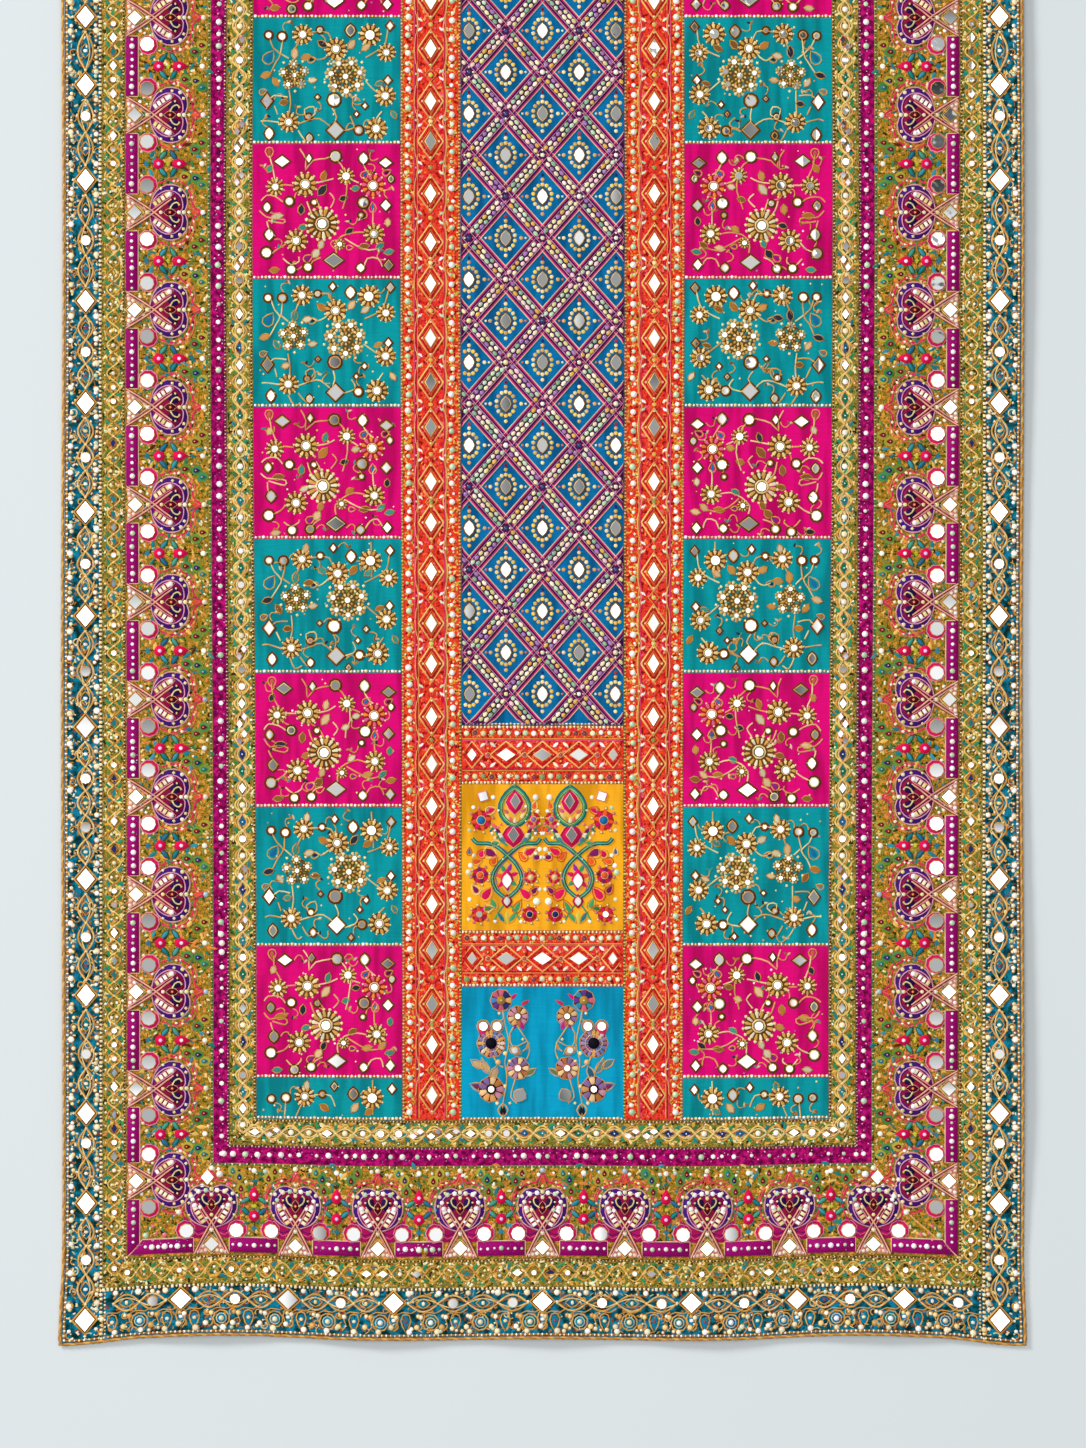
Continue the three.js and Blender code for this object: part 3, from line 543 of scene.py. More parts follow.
class Sewing:
    """Stitches gathered in a piece's own x and y. at() moves, turns and mirrors those that come after it."""

    def __init__(self):
        self.points, self.triangles, self.dyes, self.finishes, self.count = [], [], [], [], 0
        self.limits = None
        self.at(0, 0)

    def at(self, x, y, turn=0.0, mirror=False):
        self.origin, self.flip = np.array([x, y]), mirror
        c, s = math.cos(turn), math.sin(turn)
        self.spin = np.array([[c, s], [-s, c]])
        return self

    def add(self, points, triangles, dyes, finish):
        flat = points[:, :2]
        if self.flip:
            flat = flat * (-1, 1)
            triangles = triangles[:, ::-1]
        self.points.append(np.column_stack([flat @ self.spin + self.origin, points[:, 2]]))
        self.triangles.append(triangles + self.count)
        self.count += len(points)
        self.dyes.append(np.broadcast_to(dyes, (len(points), 3)))
        self.finishes.append(np.full(len(triangles), finish))

    def pad(self, shape, x, y, half_x, half_y, colour, turn=0.0, tall=0.8, finish=THREAD, base=0.0):
        points, triangles = SHAPES[shape]
        c, s = math.cos(turn), math.sin(turn)
        px, py = points[:, 0] * half_x, points[:, 1] * half_y
        placed = np.column_stack([x + c * px - s * py, y + s * px + c * py,
                                  base - 0.15 + points[:, 2] * (tall + 0.15)])
        self.add(placed, triangles, np.array(colour) * vary(0.86, 1.14), finish)

    def patch(self, foot, colour, tall=0.7, top=0.9):
        """A flat patch of velvet or satin stitch with a foot outline of its own."""
        foot = np.array(foot, dtype=float)
        if np.sum(foot[:, 0] * np.roll(foot[:, 1], -1) - np.roll(foot[:, 0], -1) * foot[:, 1]) < 0:
            foot = foot[::-1]
        centre = foot.mean(axis=0)
        points, triangles = drawn_up(foot - centre, top, 0.0)
        points = points * (1, 1, tall) + (*centre, 0)
        self.add(points, triangles, np.array(colour) * vary(0.92, 1.08), THREAD)

    def plate(self, shape, x, y, half_x, half_y, colour, turn=0.0, tall=0.7):
        """A flat patch in one of the plain shapes. A thin one is the shape alone, held at its height."""
        if tall <= 0.7:
            return self.pad(shape, x, y, half_x, half_y, colour, turn, 0.1, base=tall)
        c, s = math.cos(turn), math.sin(turn)
        foot = np.array(RIMS[shape]) * (half_x, half_y)
        self.patch(foot @ np.array([[c, s], [-s, c]]) + (x, y), colour, tall, 0.94)

    def bead(self, x, y, half=2.0, colour=CREAM, tall=None):
        shape = "big" if half > 2.85 else "bead" if half > 1.9 else "seed"
        base = max(0.0, (tall or 0) - 0.8 * half)
        self.pad(shape, x, y, half, half, colour, chance.random(), (tall or 0.75 * half) - base, BEAD, base)

    def set_bead(self, x, y, half=2.2, colour=CREAM, rim=GOLD):
        """A bead in a gilt ring."""
        self.pad("bead", x, y, half + 1.1, half + 1.1, np.array(rim) * 0.72, 0, 1.3, GILT)
        self.pad("bead", x, y, half, half, colour, 0.3, 1.6, BEAD, 0.6)

    def thread(self, path, wide=1.3, colour=GOLD, finish=GILT, closed=False, tall=0.7, base=0.0):
        path = np.asarray(path, dtype=float)
        if closed:
            path = np.vstack([path, path[:1]])
        run = np.gradient(path, axis=0)
        if closed:
            run[0] = run[-1] = path[1] - path[-2]
        run /= np.maximum(np.hypot(run[:, 0], run[:, 1]), 1e-6)[:, None]
        off = np.column_stack([-run[:, 1], run[:, 0]]) * wide / 2
        n = len(path)
        low, high = np.full((n, 1), base - 0.1), np.full((n, 1), base + tall)
        points = np.vstack([np.hstack([path - off, low]), np.hstack([path, high]),
                            np.hstack([path + off, low])])
        i = np.arange(n - 1)
        triangles = np.vstack([
            np.column_stack(t) for t in (
                (i, i + 1, i + n + 1), (i, i + n + 1, i + n),
                (i + n, i + n + 1, i + 2 * n + 1), (i + n, i + 2 * n + 1, i + 2 * n))])
        shine = 1 + 0.18 * np.sin(np.tile(np.arange(n), 3) * 2.1)[:, None]
        self.add(points, triangles, np.array(colour) * shine * vary(0.9, 1.1), finish)

    def curve(self, knots, wide=1.2, colour=GOLD, finish=GILT, step=5.5, **more):
        """A thread through knots, rounded between them."""
        k = np.asarray(knots, dtype=float)
        k = np.vstack([2 * k[0] - k[1], k, 2 * k[-1] - k[-2]])
        path = []
        for a, b, c, d in zip(k, k[1:], k[2:], k[3:]):
            many = max(2, int(np.hypot(*(c - b)) / step))
            t = (np.arange(many) / many)[:, None]
            bend, twist = 2 * a - 5 * b + 4 * c - d, 3 * b - a - 3 * c + d
            path.append(0.5 * (2 * b + (c - a) * t + bend * t**2 + twist * t**3))
        self.thread(np.vstack([*path, k[-2:-1]]), wide, colour, finish, **more)

    def outline(self, shape, x, y, half_x, half_y, colour=GOLD, wide=1.4, turn=0.0, finish=GILT, **more):
        c, s = math.cos(turn), math.sin(turn)
        foot = np.array(RIMS[shape]) * (half_x, half_y)
        self.thread(foot @ np.array([[c, s], [-s, c]]) + (x, y), wide, colour, finish, closed=True, **more)

    def mirror(self, shape, x, y, half_x, half_y=None, rim=GOLD, turn=0.0, wide=1.5, painted_reflection=None, tall=1.1):
        """A set mirror under its couched rim. Its colour holds a painted reflection: many are painted darker,
        some only on one side, as if they showed a darker part of the room.
        """
        half_y = half_y or half_x
        painted_reflection = painted_reflection or pick((0.9, 0.9, 0.9, 0.8, 0.62, 0.4, 0.3, 0.16))
        painted_dark_side = pick((0, 0, 0, 0.35, 0.6))
        points, triangles = SHAPES[shape]
        c, s = math.cos(turn), math.sin(turn)
        px, py = points[:, 0] * (half_x + 0.4 * wide), points[:, 1] * (half_y + 0.4 * wide)
        placed = np.column_stack([x + c * px - s * py, y + s * px + c * py, np.full(len(px), tall)])
        # Painted reflection: the glass colour is scaled down by the tone, and further down on one side.
        shade = painted_reflection * (1 - painted_dark_side * (0.5 + 0.5 * points[:, :1]))
        self.add(placed, triangles, np.array((0.97, 0.98, 0.97)) * shade, GLASS)
        if rim:
            self.outline(shape, x, y, half_x + wide / 2, half_y + wide / 2, rim, wide, turn, tall=tall + 0.5)

    def blossom(self, x, y, half, petals, colour, centre, tip, turn=0.0):
        """Petals of couched thread round a small mirror."""
        for i in range(petals):
            a = turn + TAU * i / petals
            reach, shade = half * 0.72, tip if i % 2 else colour
            self.pad("petal", x + reach * math.cos(a), y + reach * math.sin(a), half * 0.32,
                     half * min(0.5, 4.2 / petals), shade, a, 1.5, GILT)
            if half > 7:
                self.bead(x + half * math.cos(a), y + half * math.sin(a), half * 0.12, PALE_GOLD)
        self.pad("disc", x, y, half * 0.52, half * 0.52, centre, 0, 1.4)
        self.outline("round", x, y, half * 0.4, half * 0.4, PALE_GOLD, half * 0.14, tall=1.9)
        self.mirror("round", x, y, half * 0.24, rim=None, painted_reflection=pick((1, 1, 1, 0.5)), tall=1.9)

    def row(self, start, finish, every, half, colour, wobble, other):
        """A row of beads of two colours by turns along a line."""
        start, finish = np.array(start, float), np.array(finish, float)
        many = max(1, round(np.hypot(*(finish - start)) / every))
        for i in range(many + 1):
            x, y = start + (finish - start) * i / many
            self.bead(x + vary(-wobble, wobble), y + vary(-wobble, wobble),
                      half * vary(0.85, 1.15), other if i % 2 else colour)

    def sew_on(self, piece, slot):
        """Makes one mesh of the stitches on the laid piece, and names it after the piece."""
        points, triangles = np.vstack(self.points), np.vstack(self.triangles)
        if self.limits:
            points[:, 0] = np.clip(points[:, 0], *self.limits[:2])
            points[:, 1] = np.clip(points[:, 1], *self.limits[2:])
        dyes, finishes = np.vstack(self.dyes), np.concatenate(self.finishes)
        placed = piece.lay(points[:, 0], points[:, 1], points[:, 2])
        if piece.mirrored:
            triangles = triangles[:, ::-1]
        mesh = bpy.data.meshes.new(piece.name + "_needlework")
        mesh.vertices.add(len(placed))
        mesh.vertices.foreach_set("co", placed.ravel())
        mesh.loops.add(triangles.size)
        mesh.loops.foreach_set("vertex_index", triangles.ravel().astype(np.int32))
        mesh.polygons.add(len(triangles))
        mesh.polygons.foreach_set("loop_start", np.arange(0, triangles.size, 3, dtype=np.int32))
        mesh.update()
        for finish in STITCH_FINISHES:
            mesh.materials.append(finish)
        mesh.polygons.foreach_set("material_index", finishes.astype(np.int32))
        mesh.polygons.foreach_set("use_smooth", finishes != GLASS)
        colours = mesh.attributes.new("dye", "FLOAT_COLOR", "POINT")
        colours.data.foreach_set("color", np.column_stack([np.clip(dyes, 0, 1), np.ones(len(dyes))]).ravel())
        mesh.validate()
        made = bpy.data.objects.new(piece.name + "_needlework", mesh)
        bpy.context.scene.collection.objects.link(made)
        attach(made, "root")


def scatter(sewing, x0, x1, y0, y1, every, colours, half, keep=None):
    """Short satin stitches strewn over a ground, in a few thread colours."""
    for i in range(int((x1 - x0) * (y1 - y0) / every**2)):
        x, y = vary(x0, x1), vary(y0, y1)
        if keep is None or keep(x, y):
            long = vary(*half)
            sewing.pad("seed", x, y, long * 1.5, long * 0.75, pick(colours), vary(0, math.pi), 0.5)


def mitre(x_from, x_to, slope):
    """Keeps what lies on the strip's own side of its mitred ends."""
    return lambda x, y: x_from + slope * y < x < x_to - slope * y


WHITE_SEAM = (WHITE, PALE_GOLD, DEEP_GOLD)


def seam_beads(sewing, x0, y0, x1, y1, every=4.2, half=1.8, colour=CREAM, other=PALE_GOLD, cord=BRONZE):
    """A beaded seam: a gilt cord with seed beads of two colours by turns."""
    if cord:
        many = max(2, round(math.hypot(x1 - x0, y1 - y0) / 9))
        sewing.thread(np.linspace((x0, y0), (x1, y1), many), 2.0, cord, GILT, tall=0.5)
    sewing.row((x0, y0), (x1, y1), every, half, colour, 0.25, other)


def curl(sewing, x, y, half, turn, way=1, colour=GOLD, wide=1.2, bead=CREAM):
    """A little scroll that winds in on a bead."""
    sweep = np.linspace(0, 1.35 * math.pi, 9)
    reach = half * (1 - 0.09 * sweep)
    path = np.column_stack([x + reach * np.cos(turn + way * sweep), y + reach * np.sin(turn + way * sweep)])
    sewing.thread(path, wide, colour)
    sewing.bead(*path[-1], 0.34 * half, bead)


def twined(sewing, x0, x1, middle, swell, loops, wide, colours):
    """Two threads that cross and part again, loop after loop."""
    t = np.linspace(0, 1, max(3, int(8 * loops) + 1))
    for sign, colour in zip((1, -1), colours):
        y = middle + sign * swell * np.sin(math.pi * (loops * t))
        sewing.thread(np.column_stack([x0 + (x1 - x0) * t, y]), wide, colour)


# The teal border: a row of lozenge mirrors in double gilt lines, with scrolls, small mirrors and beads
# between them, and a line of white beads inside the piping. The side strips run through to the hems.
DIAMONDS_ALONG = [
    24, 137, 227, 345, 461, 613, 724, 828, 937, 1039, 1160, 1255, 1323, 1432, 1545, 1660, 1785, 1900, 2018,
    2118, 2231,
]
DIAMONDS_ACROSS = [0, 151, 258, 364]
DIAMOND_ROOM = 15
MARGIN_BEADS = (CREAM, PEARL, PALE_GOLD, CREAM, MINT)


def set_diamond(sewing, x, y, half_x, half_y):
    sewing.mirror("lozenge", x, y, half_x - 2.4, half_y - 2.2, painted_reflection=pick((1, 1, 1, 0.8, 0.45)), tall=1.7)
    sewing.pad("lozenge", x, y, half_x + 3.4, half_y + 3.2, BRONZE, 0, 1.2)
    sewing.outline("lozenge", x, y, half_x + 1.1, half_y + 1.1, GOLD, 2.2, tall=1.8)
    for dx, dy in ((half_x + 3, 0), (-half_x - 3, 0), (0, half_y + 2.6), (0, -half_y - 2.6)):
        sewing.bead(x + dx, y + dy, 1.7, CREAM)


def scroll_gap(sewing, x0, x1, middle, deep, swell, beaded):
    """The scrollwork between two diamonds of a strip. beaded is the share of the seeds that are beads."""
    loops = max(1, round((x1 - x0) / 27))
    step = (x1 - x0) / loops
    twined(sewing, x0, x1, middle, swell, loops, 2.0, (GOLD, dye("eebb6c")))
    twined(sewing, x0, x1, middle, 0.55 * swell, loops, 1.3, (PALE_GOLD, DEEP_GOLD))
    for i in range(loops):
        x = x0 + step * (i + 0.5)
        if i % 2:
            sewing.mirror("round", x, middle, 4.2, painted_reflection=pick((1, 1, 0.8, 0.3)))
        else:
            sewing.pad("drop", x, middle, 6.5, 5.0, pick((SEA, dye("0d5f86"), dye("0e7f9a"))),
                       pick((0, math.pi)))
            sewing.outline("almond", x, middle, 5.2, 7.0, GOLD, 1.3, math.pi / 2)
            sewing.bead(x, middle, 2.5, pick((CREAM, PALE_GOLD, WHITE, MAROON)))
        for way in (-1, 1):
            far = middle + way * (swell + 4.6)
            if 4 < far < deep - 3:
                curl(sewing, x - 2, far, 3.6, vary(0, TAU), way, bead=pick(MARGIN_BEADS))
    for i in range(loops + 1):
        x = x0 + step * i
        sewing.bead(x, middle, 1.9, PALE_GOLD)
        for y in (5.4, deep - 5.2):
            if abs(y - middle) > 8:
                sewing.set_bead(x + vary(-2, 2), y, vary(2.3, 3.2), pick((PEARL, CREAM, WHITE)))
    for i in range(int((x1 - x0) / 5.2)):
        x = x0 + 5.2 * (i + 0.5) + vary(-1, 1)
        for y in (vary(4.6, 8.5), deep - vary(4.2, 8.0)):
            if chance.random() < beaded:
                sewing.set_bead(x, y, vary(1.2, 2.3), pick(MARGIN_BEADS), DEEP_GOLD)
            else:
                sewing.pad("leaf", x, y, 3.2, 1.3, pick((GOLD, PALE_GOLD, DEEP_GOLD)),
                           vary(0, math.pi), 0.8, GILT)


SCROLL_DYES = [dye(c) for c in (
    "e8b45a", "f6dca0", "c8862e", "fff0cc", "0a3c44", "1c8aa8", "a86a28", "8a3a1c",
)]


def loose_scrolls(sewing, x0, x1, y0, y1, every, dyes):
    """Free curls and seeds that fill the ground between the set pieces."""
    scatter(sewing, x0, x1, y0, y1, 5.6, dyes, (1.3, 2.5))
    for i in range(int((x1 - x0) / every)):
        x, y = x0 + every * (i + chance.random()), vary(y0 + 2, y1 - 2)
        curl(sewing, x, y, vary(2.6, 4.6), vary(0, TAU), pick((-1, 1)),
             pick((GOLD, PALE_GOLD, dye("c98a3a"))), 1.3, pick(MARGIN_BEADS))


sides = Sewing()
DEEP, ROW = 36.5, 20.5
loose_scrolls(sides, 5, LENGTH - 5, 4, DEEP - 3, 14, SCROLL_DYES)
seam_beads(sides, 6, 2.0, LENGTH - 6, 2.0, 4.4, 1.5, *WHITE_SEAM)
seam_beads(sides, 5, DEEP - 1.3, LENGTH - 5, DEEP - 1.3)
for x0, x1 in zip(DIAMONDS_ALONG, DIAMONDS_ALONG[1:]):
    scroll_gap(sides, x0 + DIAMOND_ROOM, x1 - DIAMOND_ROOM, ROW, DEEP, 7.8, 0.55)
for x in DIAMONDS_ALONG:
    set_diamond(sides, x, ROW, 12.4, 10.2)
    for dx in (-9, 9):
        for y in (6.5, DEEP - 6):
            sides.bead(x + dx + vary(-1.5, 1.5), y, 2.1, pick(MARGIN_BEADS))
            curl(sides, x + dx * 1.5, y, 3.2, vary(0, TAU))
for where in ("left", "right"):
    sides.sew_on(pieces[f"{where}_teal_border"], "teal_velvet")

ends = Sewing()
DEEP, HALF = 49, 440.85
loose_scrolls(ends, -HALF + 3, HALF - 3, 5, DEEP - 3, 16, [SCROLL_DYES[2], *SCROLL_DYES[4:]])
seam_beads(ends, -HALF - 34, 1.8, HALF + 34, 1.8, 4.4, 1.5, *WHITE_SEAM)
seam_beads(ends, -HALF + 1, DEEP - 1.3, HALF - 1, DEEP - 1.3)
for side in (-1, 1):
    ends.row((side * (HALF - 2.4), 5), (side * (HALF - 2.4), DEEP - 2), 3.6, 1.4, CREAM, 0.2, GOLD)
diamonds = sorted([-x for x in DIAMONDS_ACROSS[1:]] + DIAMONDS_ACROSS)
for x0, x1 in zip([-HALF - 4, *diamonds], [*diamonds, HALF + 4]):
    scroll_gap(ends, x0 + DIAMOND_ROOM, x1 - DIAMOND_ROOM, 33.5, DEEP, 8.0, 0.25)
    many = max(2, round((x1 - x0) / 25))
    for i in range(many):
        x = x0 + (x1 - x0) * (i + 0.5) / many
        if i % 2:
            ends.pad("disc", x, 14.5, 7.0, 7.0, pick((dye("0e86a8"), SEA, dye("1273a0"))))
            ends.outline("round", x, 14.5, 8.2, 8.2, GOLD, 1.6)
            ends.outline("round", x, 14.5, 5.0, 5.0, PALE_GOLD, 1.0)
            ends.bead(x, 14.5, 3.0, pick((WHITE, CREAM)))
        else:
            ends.pad("drop", x, 14, 8, 6.5, dye("0d7c9c"), -math.pi / 2)
            ends.outline("drop", x, 14, 9.0, 8.2, GOLD, 1.5, -math.pi / 2)
            ends.bead(x, 15.5, 2.6, pick((PALE_GOLD, MAROON, CREAM)))
        for dx, dy, half in ((11, 10, 2.6), (-10, 20, 2.3), (12.5, 21, 1.8)):
            ends.set_bead(x + dx, dy, half, pick((PEARL, PALE_GOLD, CREAM, GOLD)))
        curl(ends, x - 11, 11, 4.0, vary(0, TAU))
        ends.curve([(x - 12, 6), (x - 8, 12), (x - 11, 20), (x - 4, 25), (x + 5, 24), (x + 12, 28)], 1.2)
for x in diamonds:
    set_diamond(ends, x, 34.5, 11.6, 11.0)
    ends.pad("drop", x, 16, 7.5, 5.5, dye("0e86a8"), -math.pi / 2)
    ends.outline("drop", x, 16, 9, 8, GOLD, 1.5, -math.pi / 2)
    ends.bead(x, 17, 2.6, WHITE)
for where in ("near", "far"):
    ends.sew_on(pieces[f"{where}_teal_border"], "teal_velvet")

# The two olive bands: gilt threads twined into a chain, with mirrors, beads and silk lozenges by turns in its
# loops, green leaves beside it and a beaded line along each seam. The ends are mitred with a gilt line.
AMBER, COPPER = dye("dc9840"), dye("b8682c")
GROUND_DYES = [dye(c) for c in (
    "e8b24a", "f0cc7a", "cf9630", "e8c066", "8f8f35", "4f8a44", "2f7a5a", "e0904a", "9c5f22", "23808a",
    "fbeabc", "2c2f14", "3a2410",
)]


def olive_chain(sewing, x0, x1, middle, swell, every, deep, bold):
    loops = round((x1 - x0) / every)
    step = (x1 - x0) / loops
    twined(sewing, x0, x1, middle, swell, loops, 2.0 if bold else 1.6,
           (dye("f2c668"), GOLD) if bold else (AMBER, dye("f0c060")))
    if bold:
        twined(sewing, x0, x1, middle, 0.62 * swell, loops, 1.3, (PALE_GOLD, dye("f6e0a8")))
    for i in range(loops):
        x = x0 + step * (i + 0.5)
        # m is a round mirror, l a lozenge one, p two pink ones, b two beads, w a white one, d and n silk.
        kind = pick("mnnwwpl" if bold else "mmbbdlw")
        if kind == "m":
            sewing.mirror("round", x, middle, 1.9 + 0.9 * bold, wide=1.4, rim=AMBER)
        elif kind == "l":
            sewing.mirror("lozenge", x, middle, 4.4, 2.9, wide=1.2)
        elif kind == "b":
            for dy in (-2.6, 2.6):
                sewing.bead(x + vary(-1, 1), middle + dy, 1.8, pick((CREAM, PEARL, PALE_GOLD)))
        elif kind == "d":
            sewing.pad("lozenge", x, middle, 5.5, 3.2, pick((SEA, NAVY, dye("8aa7ae"))))
            sewing.outline("lozenge", x, middle, 5.5, 3.4, COPPER, 1.1)
        elif kind == "n":
            sewing.pad("lozenge", x, middle, 7.2, 4.2, pick((NAVY, dye("1b5f8c"), SEA, dye("176d53"))))
            sewing.outline("lozenge", x, middle, 7.4, 4.6, AMBER, 1.3)
            sewing.bead(x, middle, 1.8, WHITE)
        elif kind == "p":
            for way in (-1, 1):
                sewing.mirror("lozenge", x + 3.6 * way, middle + 2.3 * way, 3.5, 2.4, rim=ROSE, wide=0.9)
        else:
            sewing.set_bead(x, middle, 2.0 + 0.9 * bold, pick((PEARL, WHITE, CREAM)), AMBER)
        for way in (-1, 1):
            leaf = pick((LEAF, SEA, dye("2c8f63"), MOSS))
            sewing.pad("leaf", x + step / 2, middle + way * swell * 0.85, 5.2, 4.2, leaf,
                       way * vary(0.2, 1.2), 0.9)
            sewing.pad("leaf", x + vary(-4, 4), middle + way * (swell + 1.5), 3.6, 2.2,
                       pick(GROUND_DYES[:8]), vary(-0.6, 0.6), 0.9)
            y = middle + way * (swell + 2.0)
            if 2.5 < y < deep - 2.5:
                sewing.bead(x + vary(-3, 3), y, vary(1.1, 1.9), pick((CREAM, PALE_GOLD, PEARL)))
        sewing.bead(x + step / 2, middle, 1.6, pick((CREAM, PALE_GOLD, MAROON)))


OLIVE_SEEDS = [*GROUND_DYES, *(dye(c) for c in (
    "f7dc8a", "f4cf6a", "fff0c0", "f8e4a0", "3f9a5a", "f2b04a", "fbe7b4",
))]
for band, every_side, every_end in (("outer_olive_band", 14, 17), ("inner_olive_band", 17, 18)):
    cut = BANDS[band]
    (side_out, side_in), (end_out, end_in) = cut["side"], cut["end"]
    bold = band == "inner_olive_band"
    deep = side_out - side_in
    sides = Sewing()
    seam_beads(sides, end_in + 1, deep - 1.6, LENGTH - end_in - 1, deep - 1.6, 3.5, 1.3, PALE_GOLD, GOLD)
    slope = (end_in - end_out) / deep
    scatter(sides, end_out, LENGTH - end_out, 2.5, deep - 2.5, 5.0, OLIVE_SEEDS, (1.6, 3.2),
            mitre(end_out + 2, LENGTH - end_out - 2, slope))
    olive_chain(sides, end_out + 12, LENGTH - end_out - 12, deep / 2, 0.27 * deep, every_side, deep, bold)
    for at_x, way in ((end_out, 1), (LENGTH - end_out, -1)):
        seam_beads(sides, at_x + 2 * way, 0.8, at_x + way * (end_in - end_out - 1), deep - 1.5, 3.4, 1.2,
                   PALE_GOLD, GOLD)
    for where in ("left", "right"):
        sides.sew_on(pieces[f"{where}_{band}"], "olive_needlework")
    ends = Sewing()
    deep = end_in - end_out
    seam_beads(ends, -side_in - 1, deep - 1.6, side_in + 1, deep - 1.6, 3.5, 1.3, PALE_GOLD, GOLD)
    slope = (side_out - side_in) / deep
    scatter(ends, -side_out, side_out, 2.5, deep - 2.5, 5.0, OLIVE_SEEDS, (1.6, 3.2),
            mitre(-side_out + 2, side_out - 2, slope))
    olive_chain(ends, -side_out + 16, side_out - 16, deep / 2, 0.27 * deep, every_end, deep, bold)
    for where in ("near", "far"):
        ends.sew_on(pieces[f"{where}_{band}"], "olive_needlework")

# The magenta bands: silk with a row of white beads down the middle, tiny pink and lilac seeds and dark seams.
SPECKS = (ROSE, LILAC, PINK, WHITE, dye("e4a5c8"), dye("c9a0d6"))


def magenta_row(sewing, x0, x1, middle, deep):
    x = x0
    while x < x1:
        sewing.bead(x, middle + vary(-0.6, 0.6), pick((2.1, 2.7, 3.2)),
                    pick((WHITE, PEARL, PEARL, MINT)), 1.5)
        x += pick((9, 12, 15, 18))
    for i in range(int((x1 - x0) / 3.4)):
        sewing.pad("seed", x0 + 3.4 * i, middle + vary(-0.3, 0.3) * deep, vary(0.7, 1.5),
                   vary(0.5, 1.0), pick(SPECKS), vary(0, 3), 0.5)


for which, deep, (x0, x1), (low, high) in (
    ("side", 15.5, (176, LENGTH - 176), (193, LENGTH - 193)),
    ("end", 18.5, (-330, 330), (-316, 316)),
):
    sewing = Sewing()
    seam_beads(sewing, low, deep - 1.2, high, deep - 1.2, 3.6, 1.2, CREAM, GOLD, dye("5b2340"))
    magenta_row(sewing, x0 + 8, x1 - 8, deep / 2, deep)
    for where in ("left", "right") if which == "side" else ("near", "far"):
        sewing.sew_on(pieces[f"{where}_magenta_band"], "magenta_silk")


